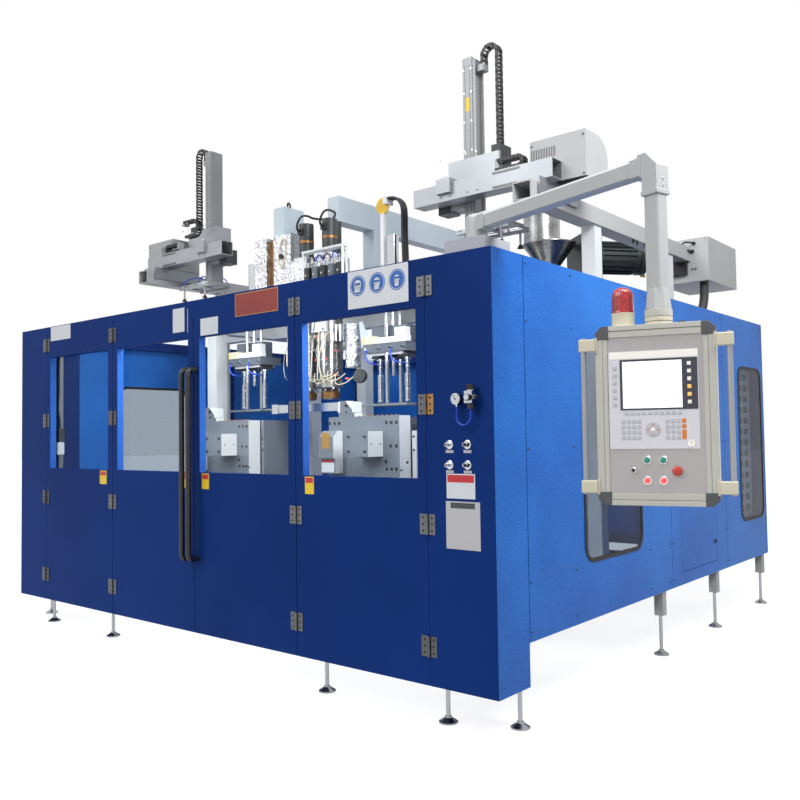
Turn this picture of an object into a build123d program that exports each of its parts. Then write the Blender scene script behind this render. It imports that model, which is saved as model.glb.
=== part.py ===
from build123d import *
from math import cos, pi, radians, sin, tan
import os

# Millimetres. X runs along the doors to the right, Y runs from the doors to the rear, Z is up.
# The origin is on the floor under the middle of the enclosure, at the central levelling foot.
os.makedirs("parts", exist_ok=True)

# Enclosure
enclosure_width = 4760
enclosure_depth = 4250
enclosure_top = 2400
skirt_clear = 200
side_clear = 420
column_width = 416
column_depth = 290
column_sheet = 4
leaf_depth = 50
leaf_gap = 4
leaf_sheet = 3
window_low = 1252
window_high = 2150
window_margin = 61
pane_thickness = 6
pane_overlap = 22
panel_depth = 30
panel_sheet = 3
panel_gap = 6
front_seam_y = 21
rear_seam_y = 1105

# Frame tubes inside the enclosure
sill_tube = 80
frame_tube = 80
frame_clear = 6
post_setback = 40

# Side windows and service door
side_window_low = 740
front_window_start = -1223
front_window_width = 778
front_window_height = 1230
rear_window_start = 1460
rear_window_width = 591
rear_window_height = 1268
side_window_radius = 100
gasket_width = 22
gasket_proud = 5
gasket_depth = 12
side_pane = 5
service_door_start = 196
service_door_width = 685
service_door_low = 507
service_door_height = 1400
service_door_sheet = 20
service_gap = 4
pivot_inset = 8
pivot_depth = 6.6
pivot_radius = 3
pivot_length = 16
pivot_play = 0.4
latch_inset = 40
latch_rise = 147
latch_radius = 16
latch_cam_reach = 46
latch_cam_gap = 12

# Door hinges and handles
hinge_height = 105
hinge_leaf = 50
hinge_plate = 4
knuckle_radius = 8
hinge_pin_radius = 4.5
hinge_play = 0.4
hinge_levels = (400, 1020, 1637, 2252)
handle_low = 670
handle_high = 1950
handle_radius = 18
handle_reach = 72
handle_inset = 35

# Levelling feet
foot_radius = 50
foot_height = 34
foot_rod_radius = 12
leg_tube = 60

# Machine bed and tower
bed_top = 760
bed_beam_width = 160
bed_half_length = 1500
rail_front_y = -1180
rail_rear_y = -720
rail_width = 60
rail_height = 40
tower_x = 1250
tower_post = 120
tower_top = 2500
tower_rear_y = 960
tower_mid_y = -300
side_leg_places = (-107, 907)
rear_leg_inset = 109
leg_drop = 160

# Clamp stations: the mould halves part along Y, the whole clamp travels along X
station_x = 760
mould_plane_y = -950
clamp_half_width = 370
carriage_plate = 70
carriage_play = 0.5
shoe_width = 26
shoe_depth = 30
side_wall = 30
platen_half_width = 325
platen_depth = 115
platen_top = 1612
platen_lift = 8
mould_half_width = 260
mould_height = 520
mould_depth = 105
mould_low = 1040
clamp_stroke = 120
slide_rail_width = 40
slide_rail_height = 30
slide_rail_offset = 220
bottle_radius = 72
bottle_low = 1120
bottle_shoulder = 1420
bottle_neck = 1480
neck_radius = 30
cavity_pitch = 254
block_width = 205
block_low = 1339
block_height = 170
block_reach = 150
block_offset = 78
guard_offset = -262
guard_width = 140
guard_reach = 95
guard_low = 1220
guard_split = 1325
guard_high = 1516
bracket_offset = -152
bracket_width = 150
bracket_depth = 80
bracket_high = 1724
tie_low = 1340
tie_high = 1509

# Blow heads
blow_plate_low = 2070
blow_plate_height = 62
blow_plate_half_width = 200
blow_plate_half_depth = 110
blow_block_height = 130
blow_block_half_width = 165
blow_block_half_depth = 50
pin_radius = 15
pin_sleeve_radius = 24
pin_sleeve_top = 1905
pin_low = 1718
stripper_top = 1706
stripper_thickness = 16
guide_rod_radius = 16
guide_rod_offset = 75
guide_flange_half = 70
guide_flange_edge = 30
guide_flange_thickness = 20
guide_play = 0.5
cylinder_radius = 45
cylinder_height = 420
piston_rod_radius = 18
piston_rod_length = 610
blow_beam_half_depth = 60
blow_beam_height = 80
blow_beam_inner = 260
transfer_half_length = 360
transfer_size = 62
transfer_y = -1018
transfer_block = 70

# Die head and extruder
die_low = 1760
die_pitch = 254
die_tip_radius = 62
die_neck_radius = 87
die_body_radius = 95
die_lip = 60
die_neck = 120
die_band = 200
distributor_low = 2450
distributor_high = 2850
distributor_half_width = 235
distributor_half_depth = 110
servo_radius = 58
servo_height = 270
servo_flange = 30
carrier_thickness = 30
neck_plate = 70
foil_box_top = 3105
foil_box_front_y = -985
foil_box_depth = 215
foil_boxes_x = ((-705, -560), (-471, -271))
grey_box_height = 228
grey_box_width = 126
extruder_angle = 51
barrel_z = 2650
barrel_radius = 95
barrel_start = 60
bands_start = 262
throat_distance = 1905
throat_size = 260
throat_top = 2790
band_radius = 118
band_count = 6
band_width = 150
hopper_rim_z = 3023
hopper_rim_radius = 215
hopper_throat_radius = 60
hopper_sheet = 4
loader_radius = 148
loader_height = 240
loader_offset = 60
platform_thickness = 12
platform_width = 460
gearbox_start = 2130
gearbox_length = 165
gearbox_width = 340
gearbox_top = 3100
motor_z = 2935
motor_radius = 118
motor_length = 360
motor_flange = 150
motor_flange_thickness = 20
cowl_length = 60
platform_overhang = 60
fin_count = 20
fin_height = 20
fin_thickness = 5
fin_inset = 20

# Overhead beam
top_beam_width = 120
top_beam_low = 3183
top_beam_height = 203
top_beam_front_y = -776
top_beam_rear_y = 1100

# Robots
robot_beam_x = 2000
robot_beam_width = 130
robot_beam_height = 115
robot_beam_low = 2892
robot_beam_front_y = -1200
robot_beam_rear_y = 1350
robot_beam_wall = 8
robot_post = 100
robot_play = 0.6
saddle_width = 150
saddle_front_y = -1130
saddle_rear_y = -640
saddle_cheek = 18
saddle_drop = 70
bridge_y = -1000
bridge_tube = 120
bridge_low = 3042
bridge_wall = 6
bridge_inner_x = 1050
bridge_outer_x = 2133
cover_inner_x = 1909
cover_outer_x = 2298
cover_rear_y = -645
cover_top = 3330
cover_radius = 140
cover_sheet = 3
mast_x = 1415
mast_y = -850
mast_width = 76
mast_depth = 130
mast_low = 2860
mast_rise = 701
mast_wall = 5
mast_rail = 14
carriage_inner_x = 1263
carriage_outer_x = 1672
arm_plate_low = 3050
arm_plate_high = 3339
carriage_cap = 26
motor_block_x = 1155
motor_block_low = 2999
motor_block_high = 3125
chain_box_x = 1600
chain_box_low = 3190
chain_width = 60
chain_thickness = 26
chain_inner_x = 1513
chain_outer_x = 1630
chain_rise = 70
chain_box_rise = 55
chain_start_drop = 55
link_pitch = 26
link_gap = 5
link_groove = 4
gripper_inner_x = 1345
gripper_width = 415
gripper_depth = 260
gripper_bar = 30
gripper_low = 2716
gripper_cup_radius = 24
control_box_x = 1790
control_box_width = 410
control_box_depth = 680
control_box_low = 2720
control_box_height = 360
box_sheet = 3

# Operator pendant
plinth_x = 2215
plinth_setback = 125
plinth_size = 240
plinth_height = 64
plinth_flange = 12
plinth_flange_radius = 76
swivel_gap = 0.6
spigot_radius = 20
spigot_height = 25
stub_radius = 58
stub_top = 2604
arm_low = 2520
arm_height = 75
arm_width = 66
arm_edge = 12
arm_collar = 7
arm_collar_reach = 96
arm_reach = 1124
arm_angle = -16
post_radius = 45
coupling_radius = 54
coupling_height = 31
pendant_low = 1189
pendant_angle = 17
pendant_width = 458
pendant_height = 715
pendant_depth = 112
pendant_front = 60
pendant_sheet = 3
swivel_offset = 14
lid_thickness = 6
rim_width = 47
rim_proud = 7
rim_corner = 53
corner_chamfer = 25
corner_proud = 9
handle_bar_radius = 11
handle_bar_out = 48
handle_bar_low = 73
handle_bar_high = 640
handle_bar_forward = 7
grip_block_height = 50
grip_block_depth = 28
grip_block_wall = 5
keypad_width = 340
keypad_height = 387
keypad_low = 223
keypad_offset = -8
keypad_plate = 4
button_radius = 11
button_head = 7
button_travel = 5
button_stem = 6
button_height = 178
button_places = (-38, 23)
lamp_height = 99
lamp_radius = 11
stop_place = (75, 136)
stop_radius = 19
stop_head = 14
stop_travel = 5
key_place = (-91, 139)
key_radius = 11
beacon_radius = 47
beacon_base = 56
beacon_dome = 107
beacon_offset = -125

# Air service unit
unit_x = 2268
unit_z = 1662
unit_size = 46
unit_height = 60
unit_stand = 12
knob_radius = 19
knob_height = 32
bowl_radius = 17
bowl_height = 28
gauge_x = 2180
gauge_z = 1656
gauge_radius = 28
gauge_depth = 26
gauge_port_radius = 7
gauge_stem_low = 1616
gauge_stem_radius = 6
fitting_places = ((2110, 1428), (2220, 1428), (2110, 1326), (2220, 1326))
fitting_radius = 9
fitting_nut = 13
fitting_length = 34
hose_radius = 4
hose_line = ((2268, 35, 1604), (2268, 35, 1582), (2267, 35, 1559), (2256, 36, 1538), (2236, 36, 1525),
             (2212, 35, 1525), (2191, 33, 1537), (2179, 31, 1557), (2178, 30, 1581), (2180, 29, 1600),
             (2180, 29, 1616))

# Hoses over the guide disc beside the right blow cylinder, and the conduit under the control box
guide_disc_x = 675
guide_disc_z = 3152
guide_disc_radius = 60
guide_disc_thickness = 14
guide_post = 30
guide_clamp_x = 740
guide_clamp_low = 3152
guide_clamp_high = 3206
guide_clamp_depth = 78
head_hose_radius = 10
head_hose_pitch = 24
head_hose_route = ((882, 2500), (882, 2645), (879, 2790), (874, 2930), (876, 3031), (874, 3101), (857, 3142),
                   (825, 3174), (784, 3191), (740, 3191))
conduit_radius = 36
conduit_route = ((2140, 1442, 2720), (2140, 1442, 2593), (2128, 1405, 2472), (2106, 1333, 2370),
                 (2075, 1235, 2295), (2038, 1118, 2256), (2000, 998, 2256))

half_width = enclosure_width / 2
front_y = -enclosure_depth / 2
back_y = enclosure_depth / 2
door_line = half_width - column_width
leaf_pitch = door_line / 2
column_back_y = front_y + column_depth
plinth_y = front_y + plinth_setback
hose_route = tuple((x, front_y - out, z) for x, out, z in hose_line)
mast_top = arm_plate_high + mast_rise
chain_end_z = arm_plate_high + chain_box_rise
chain_apex = mast_top + chain_rise
chain_start_z = mast_top - chain_start_drop


def bar(x0, x1, y0, y1, z0, z1):
    """A rectangular solid between two corners."""
    low = Location((min(x0, x1), min(y0, y1), min(z0, z1)))
    size = (abs(x1 - x0), abs(y1 - y0), abs(z1 - z0))
    return low * Box(*size, align=(Align.MIN, Align.MIN, Align.MIN))


def rod(x, y, z, radius, height):
    """An upright round solid from z to z + height."""
    return Pos(x, y, z) * Cylinder(radius, height, align=(Align.CENTER, Align.CENTER, Align.MIN))


def rod_y(x, y, z, radius, length):
    """A round solid that runs from y towards the rear."""
    return Pos(x, y, z) * Rot(-90, 0, 0) * Cylinder(radius, length, align=(Align.CENTER, Align.CENTER, Align.MIN))


def rod_x(x, y, z, radius, length):
    """A round solid that runs from x to the right."""
    return Pos(x, y, z) * Rot(0, 90, 0) * Cylinder(radius, length, align=(Align.CENTER, Align.CENTER, Align.MIN))


def flip(shape):
    """The same solid on the other side of the machine."""
    return mirror(shape, about=Plane.YZ)


def both_sides(shapes):
    return list(shapes) + [flip(shape) for shape in shapes]


def solids_of(shapes):
    found = []
    for shape in shapes:
        found += list(shape.solids())
    return found


def save(name, *shapes):
    solids = solids_of(shapes)
    whole = solids[0] if len(solids) == 1 else Compound(children=solids)
    export_step(whole, "parts/" + name + ".step")


def rounded_plate(y0, y1, z0, z1, x0, x1, radius):
    """A plate in the YZ plane with rounded corners, from x0 to x1."""
    centre = ((y0 + y1) / 2, (z0 + z1) / 2)
    outline = Plane.YZ * Pos(*centre) * RectangleRounded(y1 - y0, z1 - z0, radius)
    return Pos(x0, 0, 0) * extrude(outline, x1 - x0, dir=(1, 0, 0))


# Corner columns: folded sheet, open underneath
def corner_column():
    shell = bar(door_line, half_width, front_y, column_back_y, skirt_clear, enclosure_top)
    hollow = bar(door_line + column_sheet, half_width - column_sheet, front_y + column_sheet,
                 column_back_y - column_sheet, skirt_clear, enclosure_top - column_sheet)
    return shell - hollow


# Door leaf: a folded tray, open at the back, with a folded return round its window
def leaf_start(index):
    """Left edge of leaf 0 to 3, counted from the left column."""
    return -door_line + index * leaf_pitch + leaf_gap / 2


def leaf_width():
    return leaf_pitch - leaf_gap


def door_leaf(index):
    x0 = leaf_start(index)
    x1 = x0 + leaf_width()
    y0 = front_y
    y1 = front_y + leaf_depth
    top = enclosure_top
    window = bar(x0 + window_margin, x1 - window_margin, y0, y1, window_low, window_high)
    skin = bar(x0, x1, y0, y1, skirt_clear, top) - window
    pocket = bar(x0 + leaf_sheet, x1 - leaf_sheet, y0 + leaf_sheet, y1, skirt_clear + leaf_sheet, top - leaf_sheet)
    pocket -= bar(x0 + window_margin - leaf_sheet, x1 - window_margin + leaf_sheet, y0, y1,
                  window_low - leaf_sheet, window_high + leaf_sheet)
    return skin - pocket


def door_window(index):
    x0 = leaf_start(index) + window_margin - pane_overlap
    x1 = leaf_start(index) + leaf_width() - window_margin + pane_overlap
    y0 = front_y + leaf_depth
    return bar(x0, x1, y0, y0 + pane_thickness, window_low - pane_overlap, window_high + pane_overlap)


# Hinges: the knuckle stands on the outside face, its middle third on the moving half
def knuckle_y():
    return front_y - knuckle_radius


def hinge_half_plate(x, side, level):
    """Plate of one hinge half, on the side -1 or +1 of the pin line."""
    return bar(x + side * (knuckle_radius * 0.6), x + side * hinge_leaf, front_y - hinge_plate, front_y,
               level - hinge_height / 2, level + hinge_height / 2)


def outer_half(x, side, level):
    """Hinge half with the two end knuckles and the pin between them."""
    third = hinge_height / 3
    low = level - hinge_height / 2
    plate = hinge_half_plate(x, side, level)
    plate -= bar(x - knuckle_radius - hinge_play, x + knuckle_radius + hinge_play, knuckle_y(), front_y,
                 low + third - hinge_play, low + 2 * third + hinge_play)
    ends = [rod(x, knuckle_y(), low, knuckle_radius, third - hinge_play),
            rod(x, knuckle_y(), low + 2 * third + hinge_play, knuckle_radius, third - hinge_play)]
    pin = rod(x, knuckle_y(), low + third - hinge_play, hinge_pin_radius, third + 2 * hinge_play)
    return [plate + ends[0] + ends[1], pin]


def inner_half(x, side, level):
    """Hinge half with the middle knuckle, bored for the pin."""
    third = hinge_height / 3
    low = level - hinge_height / 2
    plate = hinge_half_plate(x, side, level)
    for z in (low, low + 2 * third):
        plate -= bar(x - knuckle_radius - hinge_play, x + knuckle_radius + hinge_play, knuckle_y(), front_y,
                     z - hinge_play, z + third + hinge_play)
    middle = rod(x, knuckle_y(), low + third, knuckle_radius, third)
    bore = rod(x, knuckle_y(), low + third, hinge_pin_radius + hinge_play, third)
    return [plate + middle - bore]


def hinge_row(half, x, side):
    pieces = []
    for level in hinge_levels:
        pieces += half(x, side, level)
    return pieces


def make_doors():
    names = ("door_leaf_a", "door_leaf_b", "door_leaf_c", "door_leaf_d")
    for index, name in enumerate(names):
        if index == 3:
            halves = hinge_row(inner_half, door_line, -1) + hinge_row(outer_half, leaf_pitch, 1)
        elif index == 2:
            halves = hinge_row(inner_half, leaf_pitch, -1)
        elif index == 1:
            halves = hinge_row(inner_half, -leaf_pitch, 1)
        else:
            halves = hinge_row(inner_half, -door_line, 1) + hinge_row(outer_half, -leaf_pitch, -1)
        save(name, door_leaf(index), *halves)
        save("door_window_" + name[-1], door_window(index))
    fixed = hinge_row(outer_half, door_line, 1) + hinge_row(outer_half, -door_line, -1)
    save("frame_hinges", *fixed)


# D handle: a round bar whose ends turn in to the leaf
def door_handle(x):
    reach_y = front_y - handle_reach
    bend = 1.6 * handle_radius
    path = FilletPolyline((x, front_y, handle_low + handle_radius), (x, reach_y, handle_low + handle_radius),
                          (x, reach_y, handle_high - handle_radius), (x, front_y, handle_high - handle_radius),
                          radius=bend)
    section = Plane((x, front_y, handle_low + handle_radius), z_dir=(0, -1, 0)) * Circle(handle_radius)
    return sweep(section, path)


# Side panels: trays with the sheet outside, windows with rounded corners
def side_tray(y0, y1, x_face, side):
    """Panel tray on the side -1 or +1 of the machine, with its sheet at x_face."""
    inner = x_face - side * panel_depth
    tray = bar(inner, x_face, y0, y1, side_clear, enclosure_top)
    pocket = bar(inner, x_face - side * panel_sheet, y0 + panel_sheet, y1 - panel_sheet,
                 side_clear + panel_sheet, enclosure_top - panel_sheet)
    return tray - pocket


def front_window_hole(x0, x1, inset):
    return rounded_plate(front_window_start + inset, front_window_start + front_window_width - inset,
                         side_window_low + inset, side_window_low + front_window_height - inset,
                         x0, x1, side_window_radius - inset)


def rear_window_hole(x0, x1, inset):
    return rounded_plate(rear_window_start + inset, rear_window_start + rear_window_width - inset,
                         side_window_low + inset, side_window_low + rear_window_height - inset,
                         x0, x1, side_window_radius - inset)


def right_panels():
    face = half_width
    front = side_tray(column_back_y + panel_gap, front_seam_y - panel_gap / 2, face, 1)
    front -= front_window_hole(face - panel_depth, face, 0)
    middle = side_tray(front_seam_y + panel_gap / 2, rear_seam_y - panel_gap / 2, face, 1)
    y0 = service_door_start
    y1 = y0 + service_door_width
    z1 = service_door_low + service_door_height
    lining = bar(face - panel_depth, face, y0 - service_gap - panel_sheet, y1 + service_gap + panel_sheet,
                 service_door_low - service_gap - panel_sheet, z1 + service_gap + panel_sheet)
    opening = bar(face - panel_depth, face, y0 - service_gap, y1 + service_gap,
                  service_door_low - service_gap, z1 + service_gap)
    middle = middle + lining - opening
    rear = side_tray(rear_seam_y + panel_gap / 2, back_y - panel_depth - panel_gap, face, 1)
    rear -= rear_window_hole(face - panel_depth, face, 0)
    return [front, middle, rear] + door_pivots(pivot_radius)


def left_panels():
    front = side_tray(column_back_y + panel_gap, front_seam_y - panel_gap / 2, half_width, 1)
    front -= front_window_hole(half_width - panel_depth, half_width, 0)
    middle = side_tray(front_seam_y + panel_gap / 2, rear_seam_y - panel_gap / 2, half_width, 1)
    rear = side_tray(rear_seam_y + panel_gap / 2, back_y - panel_depth - panel_gap, half_width, 1)
    return [flip(front), flip(middle), flip(rear)]


def rear_panels():
    width = enclosure_width / 4
    panels = []
    for index in range(4):
        x0 = -half_width + index * width + (panel_gap / 2 if index else 0)
        x1 = -half_width + (index + 1) * width - (panel_gap / 2 if index < 3 else 0)
        tray = bar(x0, x1, back_y - panel_depth, back_y, side_clear, enclosure_top)
        pocket = bar(x0 + panel_sheet, x1 - panel_sheet, back_y - panel_depth, back_y - panel_sheet,
                     side_clear + panel_sheet, enclosure_top - panel_sheet)
        panels.append(tray - pocket)
    return panels


def window_gasket(hole):
    outer = half_width + gasket_proud
    inner = outer - gasket_depth
    return hole(inner, outer, 0) - hole(inner, outer, gasket_width)


def window_pane(hole):
    middle = half_width + gasket_proud - gasket_depth / 2
    return hole(middle - side_pane / 2, middle + side_pane / 2, gasket_width)


def make_side_walls():
    save("right_panels", *right_panels())
    save("left_panels", *left_panels())
    save("rear_panels", *rear_panels())
    front_gasket = window_gasket(front_window_hole)
    front_pane = window_pane(front_window_hole)
    save("side_window_gaskets", front_gasket, window_gasket(rear_window_hole), flip(front_gasket))
    save("side_window_panes", front_pane, window_pane(rear_window_hole), flip(front_pane))


# Service door: a flush plate, swung about its front edge, with a quarter-turn latch
def latch_place():
    return (service_door_start + service_door_width - latch_inset, service_door_low + latch_rise)


def door_pivots(radius):
    """The pins at the two ends of the service door's front edge."""
    x = half_width - pivot_depth
    y = service_door_start + pivot_inset
    low = service_door_low - service_gap
    high = service_door_low + service_door_height + service_gap
    return [rod(x, y, low, radius, pivot_length), rod(x, y, high - pivot_length, radius, pivot_length)]


def service_door():
    y0 = service_door_start
    inner = half_width - service_door_sheet
    plate = bar(inner, half_width, y0, y0 + service_door_width, service_door_low,
                service_door_low + service_door_height)
    pocket = bar(inner, half_width - panel_sheet, y0 + panel_sheet, y0 + service_door_width - panel_sheet,
                 service_door_low + panel_sheet, service_door_low + service_door_height - panel_sheet)
    plate -= pocket
    for bore in door_pivots(pivot_radius + pivot_play):
        plate -= bore
    y, z = latch_place()
    return plate - rod_x(inner, y, z, latch_radius * 0.5 + guide_play, service_door_sheet)


def service_latch():
    """Knob, shaft and the cam behind the door, which hangs down while the latch is open."""
    y, z = latch_place()
    inner = half_width - service_door_sheet
    shaft = rod_x(inner - latch_cam_gap, y, z, latch_radius * 0.5, service_door_sheet + latch_cam_gap + guide_play)
    head = rod_x(half_width + guide_play, y, z, latch_radius, 6)
    grip = bar(half_width + guide_play + 6, half_width + guide_play + 16, y - 4, y + 4,
               z - latch_radius * 0.8, z + latch_radius * 0.8)
    cam = bar(inner - latch_cam_gap - 4, inner - latch_cam_gap, y - 9, y + 9, z - latch_cam_reach, z + 9)
    return shaft + head + grip + cam


# Feet: a bell pad and a threaded rod under each leg
def foot_places():
    """Ground position of each foot and the height that its rod reaches."""
    side_x = half_width - post_setback
    sill_y = front_y + leaf_depth + frame_clear + sill_tube / 2
    low = skirt_clear + frame_clear
    places = [(0, 0, side_clear)]
    for side in (-1, 1):
        places.append((side * leaf_pitch * 1.15, sill_y, low))
        places.append((side * (door_line + post_setback), sill_y, low))
        places.append((side * side_x, column_back_y - frame_tube / 2, low))
        places.append((side * tower_x, mould_plane_y, side_clear + frame_tube))
        for y in side_legs():
            places.append((side * side_x, y, side_clear - leg_drop))
    return places


def side_legs():
    """Where the short legs stand under each side wall, front to rear."""
    return side_leg_places + (back_y - rear_leg_inset,)


def levelling_foot(x, y, reach):
    bell = Polyline((0, 0), (foot_radius, 0), (foot_radius, 8), (foot_rod_radius + 6, foot_height - 6),
                    (foot_rod_radius + 6, foot_height), (0, foot_height), close=True)
    pad = revolve(Plane.XZ * make_face(bell), Axis.Z)
    return [Pos(x, y, 0) * pad, rod(x, y, foot_height, foot_rod_radius, reach - foot_height)]


# Frame tubes of the enclosure
def base_frame():
    pieces = []
    high = enclosure_top - frame_clear
    inner_x = half_width - panel_depth
    inner_back = back_y - panel_depth
    sill_front = front_y + leaf_depth + frame_clear
    sill_low = skirt_clear + frame_clear
    column_inner = half_width - column_sheet
    for z in (sill_low, high - sill_tube):
        pieces.append(bar(-door_line, door_line, sill_front, sill_front + sill_tube, z, z + sill_tube))
    for side in (-1, 1):
        x0 = side * (inner_x - frame_tube)
        x1 = side * inner_x
        foot_y = column_back_y - frame_tube / 2
        pieces.append(bar(side * (door_line + column_sheet), side * column_inner, sill_front, foot_y - frame_tube / 2,
                          sill_low, sill_low + sill_tube))
        pieces.append(bar(side * (column_inner - frame_tube), side * column_inner, foot_y - frame_tube / 2,
                          column_back_y - column_sheet, sill_low, sill_low + sill_tube))
        for z in (side_clear, high - frame_tube):
            pieces.append(bar(x0, x1, column_back_y, inner_back, z, z + frame_tube))
        for y in (front_seam_y, rear_seam_y, inner_back - frame_tube / 2):
            pieces.append(bar(x0, x1, y - frame_tube / 2, y + frame_tube / 2, side_clear + frame_tube,
                              high - frame_tube))
        for y in side_legs():
            centre = side * (half_width - post_setback)
            pieces.append(bar(centre - leg_tube / 2, centre + leg_tube / 2, y - leg_tube / 2, y + leg_tube / 2,
                              side_clear - leg_drop, side_clear))
    reach = inner_x - frame_tube
    for z in (side_clear, high - frame_tube):
        pieces.append(bar(-reach, reach, inner_back - frame_tube, inner_back, z, z + frame_tube))
    for y in (rail_front_y, tower_mid_y, 0, tower_rear_y):
        pieces.append(bar(-reach, reach, y - frame_tube / 2, y + frame_tube / 2, side_clear, side_clear + frame_tube))
    return pieces


# Bed under the clamps and the tower that carries extruder, blow heads and robots
def robot_stand(side, y):
    """One post under a robot's long beam."""
    x = side * robot_beam_x
    post = robot_post / 2
    return bar(x - post, x + post, y - post, y + post, side_clear + frame_tube, robot_beam_low)


def bed_and_tower():
    pieces = []
    half = tower_post / 2
    bed_low = side_clear + frame_tube
    rail_half = bed_beam_width / 2
    y_back = tower_rear_y + half
    for y in (rail_front_y, rail_rear_y):
        pieces.append(bar(-bed_half_length, bed_half_length, y - rail_half, y + rail_half, bed_low, bed_top))
    for x in (-tower_x, 0, tower_x):
        pieces.append(bar(x - half, x + half, rail_front_y + rail_half, rail_rear_y - rail_half, bed_low, bed_top))
    for side in (-1, 1):
        x0 = side * tower_x - half
        x1 = side * tower_x + half
        pieces.append(bar(x0, x1, rail_rear_y + rail_half, y_back, bed_low, bed_top))
        for y in (mould_plane_y, tower_rear_y):
            pieces.append(bar(x0, x1, y - half, y + half, bed_top, tower_top - tower_post))
        pieces.append(bar(x0, x1, mould_plane_y - half, y_back, tower_top - tower_post, tower_top))
        post = robot_post / 2
        for y in (tower_mid_y, tower_rear_y):
            pieces.append(robot_stand(side, y))
            pieces.append(bar(side * (tower_x + half), side * (robot_beam_x - post), y - post, y + post,
                              tower_top - robot_post, tower_top))
    for y in (tower_mid_y, tower_rear_y):
        pieces.append(bar(-tower_x + half, tower_x - half, y - half, y + half, tower_top - tower_post, tower_top))
    return pieces


def clamp_rails():
    return [bar(-bed_half_length, bed_half_length, y - rail_width / 2, y + rail_width / 2, bed_top,
                bed_top + rail_height) for y in (rail_front_y, rail_rear_y)]


# Clamp carriage: base plate on two rails, a full wall towards the die head and a tie block outside
def carriage_low():
    return bed_top + rail_height + carriage_play


def carriage_top():
    return carriage_low() + carriage_plate


def platen_front_y():
    return mould_plane_y - clamp_stroke - mould_depth - platen_depth


def clamp_carriage():
    """The right clamp carriage; the left one is its mirror image."""
    front = platen_front_y()
    rear = 2 * mould_plane_y - front
    x0 = station_x - clamp_half_width
    x1 = station_x + clamp_half_width
    base = bar(x0, x1, front - 20, rear + 20, carriage_low(), carriage_top())
    for y in (rail_front_y, rail_rear_y):
        for side in (-1, 1):
            near = y + side * (rail_width / 2 + carriage_play)
            base += bar(x0, x1, near, near + side * shoe_width, carriage_low() - shoe_depth, carriage_low())
    pieces = [base]
    wall_front = front + platen_depth
    wall_rear = rear - platen_depth
    pieces.append(bar(x0, x0 + side_wall, wall_front, wall_rear, carriage_top(), platen_top))
    pieces.append(bar(x1 - side_wall, x1, wall_front, wall_rear, carriage_top(), tie_low))
    pieces.append(bar(x1 - side_wall, x1, wall_front, wall_rear, tie_low, tie_high))
    for x in (station_x - slide_rail_offset, station_x + slide_rail_offset):
        pieces.append(bar(x - slide_rail_width / 2, x + slide_rail_width / 2, front, rear, carriage_top(),
                          carriage_top() + slide_rail_height))
    return pieces


def bottle():
    """The bottle that the two mould halves enclose, about a vertical axis."""
    outline = Polyline((0, bottle_low), (bottle_radius, bottle_low), (bottle_radius, bottle_shoulder),
                       (neck_radius, bottle_neck), (neck_radius, mould_low + mould_height + 1),
                       (0, mould_low + mould_height + 1), close=True)
    return revolve(Plane.XZ * make_face(outline), Axis.Z)


def mould_half(x, y0, y1, parting_y):
    half = bar(x - mould_half_width, x + mould_half_width, y0, y1, mould_low, mould_low + mould_height)
    for side in (-1, 1):
        half -= Pos(x + side * cavity_pitch / 2, parting_y, 0) * bottle()
    return half


def platen_plate(x, y0, y1):
    """A platen with two grooves that straddle the slide rails."""
    low = carriage_top() + platen_lift
    plate = bar(x - platen_half_width, x + platen_half_width, y0, y1, low, platen_top)
    groove_half = slide_rail_width / 2 + carriage_play
    for side in (-1, 1):
        centre = x + side * slide_rail_offset
        plate -= bar(centre - groove_half, centre + groove_half, y0, y1, low,
                     carriage_top() + slide_rail_height + carriage_play)
    return plate


def front_platen(x):
    y0 = platen_front_y()
    y1 = y0 + platen_depth
    pieces = [platen_plate(x, y0, y1), mould_half(x, y1, y1 + mould_depth, y1 + mould_depth)]
    block_x = x + block_offset
    pieces.append(bar(block_x - block_width / 2, block_x + block_width / 2, y0 - block_reach, y0, block_low,
                      block_low + block_height))
    guard_x = x + guard_offset
    slope = guard_reach * 0.45
    side_view = Polyline((y0, guard_split), (y0 - guard_reach, guard_split), (y0 - guard_reach, guard_high - slope),
                         (y0 - guard_reach + slope, guard_high), (y0, guard_high), close=True)
    guard = extrude(Plane.YZ * make_face(side_view), guard_width)
    pieces.append(Pos(guard_x - guard_width / 2, 0, 0) * guard)
    pieces.append(bar(guard_x - guard_width / 2, guard_x + guard_width / 2, y0 - guard_reach * 0.8, y0,
                      guard_low, guard_split))
    bracket_x = x + bracket_offset
    x0 = bracket_x - bracket_width / 2
    x1 = bracket_x + bracket_width / 2
    gusset = Polyline((x0, platen_top), (x1, platen_top), (x1, platen_top + 22),
                      (x0 + bracket_width * 0.45, bracket_high), (x0, bracket_high), close=True)
    pieces.append(Pos(0, y0 + bracket_depth, 0) * extrude(Plane.XZ * make_face(gusset), bracket_depth))
    return pieces


def rear_platen(x):
    y1 = 2 * mould_plane_y - platen_front_y()
    y0 = y1 - platen_depth
    return [platen_plate(x, y0, y1), mould_half(x, y0 - mould_depth, y0, y0 - mould_depth)]


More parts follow.
